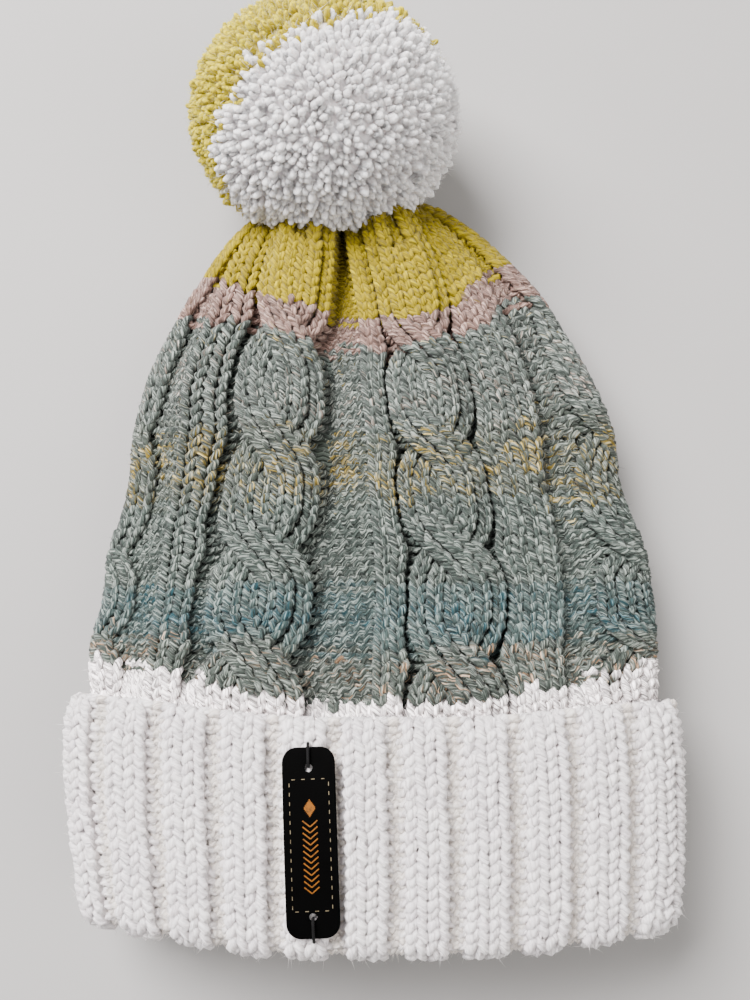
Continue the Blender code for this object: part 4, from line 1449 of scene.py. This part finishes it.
@dataclass
class Label:
    """A black leatherette label, with a stitched border and a plain ornament in gold.

    Attributes:
        corner: radius of its corners.
        hole_inset: from its ends to the middles of its holes.
        above_mouth: from the mouth to its lower end.
        aside: x of its middle.
        lift: how far its underside lies over the cuff's solid ribs, for the yarn's own roundness.
        sag: how much its middle is lower than a flat plate's.
    """

    form: HatForm
    length: float = 0.052
    width: float = 0.0152
    thickness: float = 0.0011
    corner: float = 0.0042
    hole_radius: float = 0.0012
    hole_inset: float = 0.0058
    above_mouth: float = 0.0072
    aside: float = -0.0187
    turn: float = math.radians(2.4)
    lift: float = 0.0008
    sag: float = 0.00012

    def place(self, flat: Array) -> Array:
        """Lays flat points on the cuff: turned, raised to the ribs' crest and tilted with it.

        Args:
            flat: rows of along, across and up.

        Returns:
            The points in the frame.
        """
        along, across, up = flat.T
        cosine, sine, reach = math.cos(self.turn), math.sin(self.turn), self.width / 2
        axis = self.aside - along * sine
        x = self.aside + across * cosine - along * sine
        y = self.above_mouth + self.length / 2 + across * sine + along * cosine
        left, middle, right = (self.form.cuff_crest(axis + step, y) for step in (-reach, 0.0, reach))
        crest = middle + (right - left) / (2 * reach) * (x - axis)
        z = crest + self.lift + up - self.sag * np.cos(np.pi * across / self.width)
        return np.stack([x, y, z], axis=1) + np.array(self.form.shift)

    def covers(self, points: Array, margin: float) -> Array:
        """Whether points of the front lie under the label or within a margin of its edge.

        Args:
            points: points in the frame.
            margin: distance beyond the label's edge.

        Returns:
            One truth value for each.
        """
        x, y, _ = (points - np.array(self.form.shift)).T
        x, y = x - self.aside, y - self.above_mouth - self.length / 2
        across = x * math.cos(self.turn) + y * math.sin(self.turn)
        along = y * math.cos(self.turn) - x * math.sin(self.turn)
        near = (np.abs(across) < self.width / 2 + margin) & (np.abs(along) < self.length / 2 + margin)
        return near & (points[:, 2] > self.form.body_height / 2)

    def plate(self) -> Piece:
        """The plate: a grid whose corner squares are pressed into quarter discs, with two round holes.

        A point (u, v) of a corner square goes to (u sqrt(1 - v^2 / 2), v sqrt(1 - u^2 / 2)), and
        the points round a hole's middle go to its circle.

        Returns:
            The piece, thickened and bevelled by modifiers.
        """
        hole = self.length / 2 - self.hole_inset
        wide, long = self.width / 2 - self.corner, self.length / 2 - self.corner
        block = long - hole
        edge = np.linspace(-self.width / 2, -wide, 5)
        inner = [-0.0025, -block, 0.0, block, 0.0025]
        x = np.concatenate([edge, inner, np.linspace(wide, self.width / 2, 5)])
        rim = np.linspace(long, self.length / 2, 5)
        between = np.linspace(-(hole - block), hole - block, 27)
        y = np.concatenate([-rim[::-1], [-hole], between, [hole], rim])
        across, along = np.meshgrid(x, y)
        u = np.clip((np.abs(across) - wide) / self.corner, 0.0, 1.0)
        v = np.clip((np.abs(along) - long) / self.corner, 0.0, 1.0)
        corner = (u > 0) & (v > 0)
        round_x = wide + self.corner * u * np.sqrt(1 - v * v / 2)
        round_y = long + self.corner * v * np.sqrt(1 - u * u / 2)
        across = np.where(corner, np.sign(across) * round_x, across)
        along = np.where(corner, np.sign(along) * round_y, along)
        number = np.arange(across.size).reshape(across.shape)
        corners = [number[:-1, :-1], number[:-1, 1:], number[1:, 1:], number[1:, :-1]]
        quads = np.stack(corners, -1).reshape(-1, 4)
        for side in (1.0, -1.0):
            gap = np.hypot(across, along - side * hole)
            centre = gap < 1e-9
            ring = (gap < 1.5 * block) & ~centre
            scale = np.where(ring, self.hole_radius / np.maximum(gap, 1e-9), 1.0)
            across, along = across * scale, side * hole + (along - side * hole) * scale
            quads = quads[~np.isin(quads, number[centre]).any(axis=1)]
        flat = np.stack([along.ravel(), across.ravel(), np.zeros(across.size)], axis=1)
        used, faces = np.unique(quads, return_inverse=True)
        piece = plain_piece("label_plate", self.place(flat[used]), faces.reshape(-1, 4))
        piece.data.polygons.foreach_set("use_smooth", np.ones(len(quads), bool))
        solid = piece.modifiers.new("thickness", "SOLIDIFY")
        solid.thickness, solid.offset = self.thickness, 1.0
        rounding = piece.modifiers.new("cut_edge", "BEVEL")
        rounding.width, rounding.segments, rounding.limit_method = 0.00022, 2, "ANGLE"
        smoothing = piece.modifiers.new("smoothing", "SUBSURF")
        smoothing.levels = smoothing.render_levels = 1
        return piece

    def foil(self, name: str, strokes: Array) -> Piece:
        """Foil lines pressed onto the plate: a thin box for each stroke.

        Args:
            name: name of the piece.
            strokes: rows of along and across at both ends, and the width.

        Returns:
            The piece.
        """
        start, end, width = strokes[:, :2], strokes[:, 2:4], strokes[:, 4:5]
        way = unit(end - start)
        aside = np.stack([-way[:, 1], way[:, 0]], axis=1) * width / 2
        outline = np.stack([start - aside, end - aside, end + aside, start + aside], axis=1)
        low = np.full(outline.shape[:2] + (1,), self.thickness - 0.00010)
        levels = [np.concatenate([outline, low + raised], axis=2) for raised in (0.0, 0.00016)]
        flat = np.concatenate(levels, axis=1).reshape(-1, 3)
        sides = [[side, side + 4, (side + 1) % 4 + 4, (side + 1) % 4] for side in range(4)]
        faces = np.array([[0, 1, 2, 3], [7, 6, 5, 4], *sides])
        quads = 8 * np.arange(len(strokes))[:, None, None] + faces
        return plain_piece(name, self.place(flat), quads.reshape(-1, 4))

    def border(self) -> Array:
        """Strokes of the stitched border: dashes at an even pitch round a rectangle.

        Returns:
            One row for each stroke.
        """
        top, bottom, half, dash, width = 0.0172, -0.0186, 0.0056, 0.0010, 0.00018
        along = np.linspace(bottom, top, 15)[:-1] + 0.0006
        across = np.linspace(-half, half, 5)[:-1] + 0.0007
        sides = [[a, s * half, a + dash, s * half, width] for s in (-1.0, 1.0) for a in along]
        ends = [[e, c, e, c + dash, width] for e in (bottom, top) for c in across]
        return np.array(sides + ends)

    def ornament(self) -> Array:
        """Strokes of a filled diamond and, under it, a column of knitted stitches.

        Returns:
            One row for each stroke.
        """
        rise = np.linspace(-0.0022, 0.0022, 12)
        half = 0.0017 * (1 - np.abs(rise) / 0.0024)
        diamond = [[0.0093 + r, -h, 0.0093 + r, h, 0.00042] for r, h in zip(rise, half)]
        places = np.linspace(0.0042, -0.0138, 12)
        legs = [[a, 0.0, a + 0.0017, s * 0.0021, 0.00034] for a in places for s in (-1.0, 1.0)]
        return np.array(diamond + legs)

    def build(self) -> dict[str, Piece]:
        """Builds the label's pieces, by name.

        Returns:
            Pieces by name.
        """
        return {
            "label_plate": self.plate(),
            "label_border": self.foil("label_border", self.border()),
            "label_ornament": self.foil("label_ornament", self.ornament()),
        }


Tree = bpy.types.NodeTree
Node = bpy.types.Node
Socket = bpy.types.NodeSocket


def add_node(tree: Tree, kind: str, settings: dict[str, object] | None = None, **links: object) -> Node:
    """Adds one shader node.

    Args:
        tree: the node tree.
        kind: the node's type name, less its ShaderNode.
        settings: values of its properties.
        **links: its inputs by name or by number after "i", each a socket or a plain value.

    Returns:
        The node.
    """
    node = tree.nodes.new("ShaderNode" + kind)
    for name, value in (settings or {}).items():
        setattr(node, name, value)
    for name, value in links.items():
        key: str | int = int(name[1:]) if name[1:].isdigit() else name.replace("_", " ")
        if isinstance(value, Socket):
            tree.links.new(value, node.inputs[key])
        else:
            node.inputs[key].default_value = value
    return node


def maths(tree: Tree, operation: str, first: object, second: object = 0.0) -> Socket:
    """The result of one sum on sockets or numbers."""
    return add_node(tree, "Math", {"operation": operation}, i0=first, i1=second).outputs[0]


def mixed(tree: Tree, share: object, first: object, second: object, way: str = "MIX") -> Socket:
    """Two colours mixed, or blended in another way."""
    settings = {"data_type": "RGBA", "blend_type": way}
    return add_node(tree, "Mix", settings, i0=share, i6=first, i7=second).outputs[2]


def remap(tree: Tree, value: Socket, low: float, high: float, start: float, end: float) -> Socket:
    """A value from low to high turned into one from start to end, and held there beyond them."""
    return add_node(tree, "MapRange", i0=value, i1=low, i2=high, i3=start, i4=end).outputs[0]


def noise(tree: Tree, place: Socket, scale: float, detail: float, rough: float = 0.5) -> Socket:
    """Noise from 0 to 1 over a place."""
    node = add_node(tree, "TexNoise", Vector=place, Scale=scale, Detail=detail, Roughness=rough)
    return node.outputs["Fac"]


def scaled(tree: Tree, colour: Socket, by: Socket) -> Socket:
    """A colour made brighter or darker."""
    return add_node(tree, "VectorMath", {"operation": "SCALE"}, i0=colour, i3=by).outputs[0]


def attribute(tree: Tree, name: str) -> tuple[Socket, Socket]:
    """Colour and alpha of a vertex attribute."""
    outputs = add_node(tree, "Attribute", {"attribute_name": name}).outputs
    return outputs["Color"], outputs["Alpha"]


def coordinates(tree: Tree, uv: UvKind | None = None) -> Socket:
    """The object's own coordinates, or those of its faces' corners.

    Args:
        tree: the node tree.
        uv: which of the corners' coordinates, if any.

    Returns:
        The coordinates.
    """
    if uv is None:
        return add_node(tree, "TexCoord").outputs["Object"]
    return add_node(tree, "UVMap", {"uv_map": uv.value}).outputs["UV"]


def bump(tree: Tree, height: Socket, strength: float, distance: float) -> Socket:
    """The surface's direction, tilted by a height."""
    return add_node(tree, "Bump", Strength=strength, Distance=distance, Height=height).outputs[0]


@dataclass(frozen=True)
class Finish:
    """One material. Its subclasses say what surface it is and what that gives the eye."""

    name: str

    def inputs(self, tree: Tree) -> dict[str, object]:
        """Inputs of the principled shader, by name with underscores."""
        raise NotImplementedError

    def build(self) -> bpy.types.Material:
        """Makes the material from an empty tree.

        Returns:
            The material.
        """
        material = bpy.data.materials.new(self.name)
        material.use_nodes = True
        tree = material.node_tree
        tree.nodes.clear()
        shader = add_node(tree, "BsdfPrincipled", **self.inputs(tree))
        add_node(tree, "OutputMaterial", Surface=shader.outputs[0])
        return material


@dataclass(frozen=True)
class PliedYarn(Finish):
    """Plied acrylic and wool yarn, spun from strands of several shades and knitted.

    It gives the eye round soft cords with slanting plies, pale and dark fibres in streaks along
    them, and a faint halo of fuzz that catches the light.

    Attributes:
        gain: how much brighter the pale strands of bleached yarn are.
        whitening: how far they turn to the light colour.
        depth: brightness that the dark strands of bleached yarn keep.
        plain_gain: gain of yarn that isn't bleached.
        plain_depth: depth of yarn that isn't bleached.
        groove: painted shade: brightness kept in the grooves between the plies.
    """

    ply_pitch: float = 0.0078
    plies: int = 3
    streak_length: float = 0.0070
    streak_width: float = 0.85
    fleck_length: float = 0.0075
    fleck_width: float = 1.1
    fleck_contrast: float = 7.0
    light: str = "#FFFFFF"
    gain: float = 2.7
    plain_gain: float = 1.35
    whitening: float = 0.28
    depth: float = 0.22
    plain_depth: float = 0.62
    lighter: float = 0.90
    darker: float = 0.88
    groove: float = 0.50
    relief: float = 0.0006
    sheen: float = 0.25
    glow: float = 0.0

    def wrapped(self, tree: Tree, ring: Socket, width: float, run: Socket, length: float) -> Socket:
        """The yarn's surface as a cylinder: cos and sin of its turn, and its run in lengths.

        Args:
            tree: the node tree.
            ring: turn round the yarn's axis.
            width: radius of the cylinder.
            run: length along the yarn.
            length: length of one unit.

        Returns:
            A place on the cylinder.
        """
        flat = [maths(tree, "MULTIPLY", maths(tree, way, ring), width) for way in ("COSINE", "SINE")]
        along = maths(tree, "DIVIDE", run, length)
        return add_node(tree, "CombineXYZ", i0=flat[0], i1=flat[1], i2=along).outputs[0]

    def flecked(self, tree: Tree, colour: Socket, ring: Socket, run: Socket) -> Socket:
        """The ground colour with spots of the fleck's, as many as its coverage asks for.

        Args:
            tree: the node tree.
            colour: the ground colour.
            ring: turn round the yarn's axis.
            run: length along the yarn.

        Returns:
            The flecked colour.
        """
        fleck, coverage = attribute(tree, FLECK_ATTRIBUTE)
        place = self.wrapped(tree, ring, self.fleck_width, run, self.fleck_length)
        edge = maths(tree, "SUBTRACT", 0.70, maths(tree, "MULTIPLY", coverage, 0.50))
        above = maths(tree, "SUBTRACT", noise(tree, place, 1.5, 1.0), edge)
        share = add_node(tree, "Clamp", i0=maths(tree, "MULTIPLY", above, self.fleck_contrast)).outputs[0]
        share = maths(tree, "MULTIPLY", share, maths(tree, "GREATER_THAN", coverage, 0.01))
        return mixed(tree, share, colour, fleck)

    def inputs(self, tree: Tree) -> dict[str, object]:
        """Streaks and plies that follow the yarn's own length and turn.

        Args:
            tree: the node tree.

        Returns:
            Inputs of the shader.
        """
        ground, bleach = attribute(tree, COLOUR_ATTRIBUTE)
        run, side, _ = add_node(tree, "SeparateXYZ", i0=coordinates(tree, UvKind.YARN)).outputs
        turn = maths(tree, "ADD", side, maths(tree, "DIVIDE", run, self.ply_pitch))
        ring = maths(tree, "MULTIPLY", turn, FULL_TURN)
        around = self.wrapped(tree, ring, self.streak_width, run, self.streak_length)
        streak = noise(tree, around, 1.9, 3.0, 0.65)
        colour = self.flecked(tree, ground, ring, run)
        bright = scaled(tree, colour, remap(tree, bleach, 0.0, 1.0, self.plain_gain, self.gain))
        bright = mixed(tree, maths(tree, "MULTIPLY", bleach, self.whitening), bright, rgba(self.light))
        dim = scaled(tree, colour, remap(tree, bleach, 0.0, 1.0, self.plain_depth, self.depth))
        toned = mixed(tree, remap(tree, streak, 0.52, 0.60, 0.0, self.lighter), colour, bright)
        toned = mixed(tree, remap(tree, streak, 0.48, 0.38, 0.0, self.darker), toned, dim)
        # Painted shade: darker in the grooves between the plies, besides the bump.
        slope = maths(tree, "MULTIPLY", ring, self.plies / 2)
        ply = maths(tree, "ABSOLUTE", maths(tree, "COSINE", slope))
        toned = mixed(tree, 1.0, toned, remap(tree, ply, 0.0, 0.45, self.groove, 1.0), "MULTIPLY")
        fibre = noise(tree, around, 9.0, 2.0, 0.6)
        height = maths(tree, "ADD", ply, maths(tree, "MULTIPLY", fibre, 0.9))
        return {
            "Base_Color": toned,
            "Roughness": 0.82,
            "Specular_IOR_Level": 0.15,
            "Normal": bump(tree, height, 0.85, self.relief),
            "Sheen_Weight": self.sheen,
            "Sheen_Roughness": 0.45,
            "Subsurface_Weight": self.glow,
            "Subsurface_Radius": (1.0, 0.92, 0.88),
            "Subsurface_Scale": 0.003,
        }


@dataclass(frozen=True)
class KnitGround(Finish):
    """The same yarn seen between and behind the loops, in the shade of the rows before it.

    It gives the eye rows of small bumps that fade into darker gaps.
    """

    darkness: float = 0.45

    def inputs(self, tree: Tree) -> dict[str, object]:
        """Rows and stitches from the fabric's own coordinates, and a bump for each.

        Args:
            tree: the node tree.

        Returns:
            Inputs of the shader.
        """
        colour, _ = attribute(tree, COLOUR_ATTRIBUTE)
        place = coordinates(tree, UvKind.FABRIC)
        stitch, row, _ = add_node(tree, "SeparateXYZ", i0=place).outputs
        across = maths(tree, "MULTIPLY", stitch, FULL_TURN)
        along = maths(tree, "MULTIPLY", row, 2 * FULL_TURN)
        wave = maths(tree, "MULTIPLY", maths(tree, "SINE", across), 1.1)
        loop = maths(tree, "SINE", maths(tree, "ADD", along, wave))
        height = maths(tree, "ADD", loop, maths(tree, "MULTIPLY", noise(tree, place, 5.0, 3.0), 0.8))
        shade = remap(tree, height, -0.9, 1.3, 1 - self.darkness, 1.0)
        return {
            "Base_Color": mixed(tree, 1.0, colour, shade, "MULTIPLY"),
            "Roughness": 0.9,
            "Specular_IOR_Level": 0.2,
            "Normal": bump(tree, height, 0.9, 0.0008),
        }


@dataclass(frozen=True)
class GrainedLeatherette(Finish):
    """Polyurethane leatherette, embossed with a fine grain and cut with a die.

    It gives the eye a deep black with a soft gloss, broken up by pebbles under half a millimetre wide.
    """

    colour: str = "#010101"
    worn: str = "#020202"
    grain: float = 0.0004

    def inputs(self, tree: Tree) -> dict[str, object]:
        """Voronoi pebbles on object coordinates, and a slow change of gloss.

        Args:
            tree: the node tree.

        Returns:
            Inputs of the shader.
        """
        place = coordinates(tree)
        pebble = add_node(tree, "TexVoronoi", Vector=place, Scale=1 / self.grain).outputs["Distance"]
        cloud = noise(tree, place, 160.0, 4.0)
        return {
            "Base_Color": mixed(tree, cloud, rgba(self.colour), rgba(self.worn)),
            "Roughness": remap(tree, cloud, 0.3, 0.7, 0.55, 0.72),
            "Specular_IOR_Level": 0.02,
            "Normal": bump(tree, pebble, 0.35, 0.0001),
        }


@dataclass(frozen=True)
class StampedFoil(Finish):
    """Metal foil stamped hot onto leatherette. It gives the eye a dull gold, worn thin in spots."""

    colour: str
    worn: str = "#3A2A12"

    def inputs(self, tree: Tree) -> dict[str, object]:
        """Worn spots from noise on object coordinates.

        Args:
            tree: the node tree.

        Returns:
            Inputs of the shader.
        """
        wear = noise(tree, coordinates(tree), 1400.0, 3.0)
        share = remap(tree, wear, 0.52, 0.68, 0.0, 0.8)
        return {
            "Base_Color": mixed(tree, share, rgba(self.colour), rgba(self.worn)),
            "Roughness": 0.42,
            "Metallic": 0.35,
            "Normal": bump(tree, wear, 0.4, 0.00005),
        }


@dataclass(frozen=True)
class WaxedThread(Finish):
    """Waxed thread, twisted from two strands. It gives the eye a cord with slanting ridges."""

    colour: str
    light: str
    pitch: float = 0.0008
    slant: Point = (0.6, 0.7, 0.5)

    def inputs(self, tree: Tree) -> dict[str, object]:
        """Slanting bands on object coordinates: a painted highlight along each ridge and painted shade
        between them.

        Args:
            tree: the node tree.

        Returns:
            Inputs of the shader.
        """
        place = coordinates(tree)
        dot = add_node(tree, "VectorMath", {"operation": "DOT_PRODUCT"}, i0=place, i1=self.slant)
        turn = maths(tree, "MULTIPLY", dot.outputs["Value"], FULL_TURN / self.pitch)
        ridge = maths(tree, "ABSOLUTE", maths(tree, "SINE", turn))
        return {
            # Painted highlight on the ridges and painted shade between them.
            "Base_Color": mixed(tree, ridge, rgba(self.colour), rgba(self.light)),
            "Roughness": 0.6,
            "Specular_IOR_Level": 0.15,
            "Normal": bump(tree, ridge, 0.7, 0.00015),
        }


@dataclass(frozen=True)
class PaleFloor(Finish):
    """A matt painted board, rolled on. It gives the eye a plain pale ground with a hint of texture."""

    colour: str = "#969594"
    mottle: str = "#9C9B9A"

    def inputs(self, tree: Tree) -> dict[str, object]:
        """A faint mottle in colour."""
        cloud = noise(tree, coordinates(tree), 9.0, 5.0)
        return {"Base_Color": mixed(tree, cloud, rgba(self.colour), rgba(self.mottle)), "Roughness": 0.75}


@dataclass
class Studio:
    """Pale floor, soft lights and the camera at the photograph's angle."""

    elevation: float = 80.0
    distance: float = 0.330
    aim: Point = (0.0, -0.0155, 0.02)
    lens: float = 36.0
    air: str = "#EDEBED"
    air_strength: float = 0.5

    def build(self) -> None:
        """Makes all of it."""
        self.add_floor()
        self.add_camera()
        self.add_light("window", (-0.75, 0.75, 1.15), 1.0, 121.0, "#FFFBFA")
        self.add_light("fill", (0.9, -0.5, 0.9), 1.2, 18.0, "#FFFAF4")
        world = bpy.data.worlds.new("studio_air")
        world.use_nodes = True
        sky = world.node_tree.nodes["Background"]
        sky.inputs["Color"].default_value = rgba(self.air)
        sky.inputs["Strength"].default_value = self.air_strength
        bpy.context.scene.world = world

    def add_floor(self) -> None:
        """A floor far wider than the view, as a grid of two by two quads."""
        side = np.array([-4.0, 0.0, 4.0])
        x, y = np.meshgrid(side, side)
        vertices = np.stack([x.ravel(), y.ravel(), np.full(9, -0.0002)], axis=1)
        corners = np.array([(0, 1, 4, 3), (1, 2, 5, 4), (3, 4, 7, 6), (4, 5, 8, 7)])
        floor = plain_piece("studio_floor", vertices, corners)
        floor.data.materials.append(PaleFloor("painted_board").build())

    def add_camera(self) -> None:
        """Looks at the aim from the elevation, with the hat upright in the picture."""
        data = bpy.data.cameras.new("camera")
        data.lens, data.sensor_width, data.clip_start = self.lens, 36.0, 0.01
        camera = link_piece("camera", data)
        angle = math.radians(self.elevation)
        way = Vector((0.0, -math.cos(angle), math.sin(angle)))
        camera.location = Vector(self.aim) + way * self.distance
        camera.rotation_euler = way.to_track_quat("Z", "Y").to_euler()
        bpy.context.scene.camera = camera

    def add_light(self, name: str, place: Point, size: float, power: float, colour: str) -> None:
        """A square soft light that faces the hat.

        Args:
            name: name of the light.
            place: where it hangs.
            size: length of its side.
            power: power in watts.
            colour: its colour.
        """
        data = bpy.data.lights.new(name, "AREA")
        data.size, data.energy, data.color = size, power, rgba(colour)[:3]
        light = link_piece(name, data)
        light.location = place
        light.rotation_euler = Vector(place).to_track_quat("Z", "Y").to_euler()


def dress(piece: Piece, material: bpy.types.Material, node: str, stands_for: bool = False) -> None:
    """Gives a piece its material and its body.

    Args:
        piece: the piece.
        material: its finish.
        node: the solid that it belongs to.
        stands_for: whether it hides that solid.
    """
    piece.data.materials.clear()
    piece.data.materials.append(material)
    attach(piece, "root")
    if stands_for:
        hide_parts(node)
    log.info("%s: %d faces", piece.name, len(piece.data.polygons))


def repaint(node: str, material: bpy.types.Material) -> None:
    """Gives a solid that stays in view its finish.

    Args:
        node: name of the solid.
        material: its finish.
    """
    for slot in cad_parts[node].material_slots:
        slot.material = material
    log.info("%s keeps its solid", node)


def main() -> None:
    """Builds the hat's classes in order and reports each piece."""
    logging.basicConfig(level=logging.INFO, format="%(message)s")
    form = HatForm()
    crown, cuff, pompom, label = Crown(form), Cuff(form), Pompom(form), Label(form)
    heather = PliedYarn("plied_heather_yarn", light="#D2D4CC", sheen=0.10).build()
    white = PliedYarn("plied_white_yarn", gain=1.1, depth=0.64, groove=0.78, sheen=0.35, glow=0.35)
    white = white.build()
    cut_white = PliedYarn("cut_white_yarn", gain=1.05, depth=0.86, groove=0.94, sheen=0.5, glow=0.8)
    cut_white = cut_white.build()
    yellow = PliedYarn(
        "cut_yellow_yarn", light="#E8DC8C", gain=1.25, whitening=0.03, depth=0.62, groove=0.82, glow=0.3
    ).build()
    grounds = {
        "crown_ground": KnitGround("knitted_heather_ground").build(),
        "cuff_ground": KnitGround("knitted_white_ground", 0.2).build(),
    }

    for name, piece in crown.build().items():
        dress(piece, grounds.get(name, heather), "crown", name in grounds)
    fuzz = Fuzz("crown_fuzz").on_knitting(crown, range(-1, int(crown.last) - 6), 170, label)
    dress(fuzz, heather, "crown")
    for name, piece in cuff.build().items():
        dress(piece, grounds.get(name, white), "cuff", name in grounds)
    fuzz = Fuzz("cuff_fuzz", longest=0.0048, radius=0.00008, seed=37)
    dress(fuzz.on_knitting(cuff, range(0, int(cuff.fold_row) + 2), 700, label), white, "cuff")

    pieces = pompom.build() | label.build()
    dress(pieces["pompom_tufts_white"], cut_white, "pompom_white", True)
    dress(pieces["pompom_tufts_yellow"], yellow, "pompom_yellow", True)
    dress(pieces["pompom_core"], cut_white, "pompom_white")
    dress(pieces["pompom_fuzz"], cut_white, "pompom_white")
    dress(pieces["label_plate"], GrainedLeatherette("embossed_leatherette").build(), "label", True)
    dress(pieces["label_border"], StampedFoil("stamped_pale_gold_foil", "#7A7058").build(), "label")
    dress(pieces["label_ornament"], StampedFoil("stamped_copper_gold_foil", "#7E4A08").build(), "label")

    repaint("pompom_tie", WaxedThread("twisted_tie_cord", "#CFCCD4", "#F0EFF3", 0.002).build())
    black_thread = WaxedThread("waxed_black_thread", "#040404", "#0C0C0D").build()
    for end in ("label_tie_top", "label_tie_bottom"):
        repaint(end, black_thread)
    Studio().build()


if __name__ == "__main__":
    main()
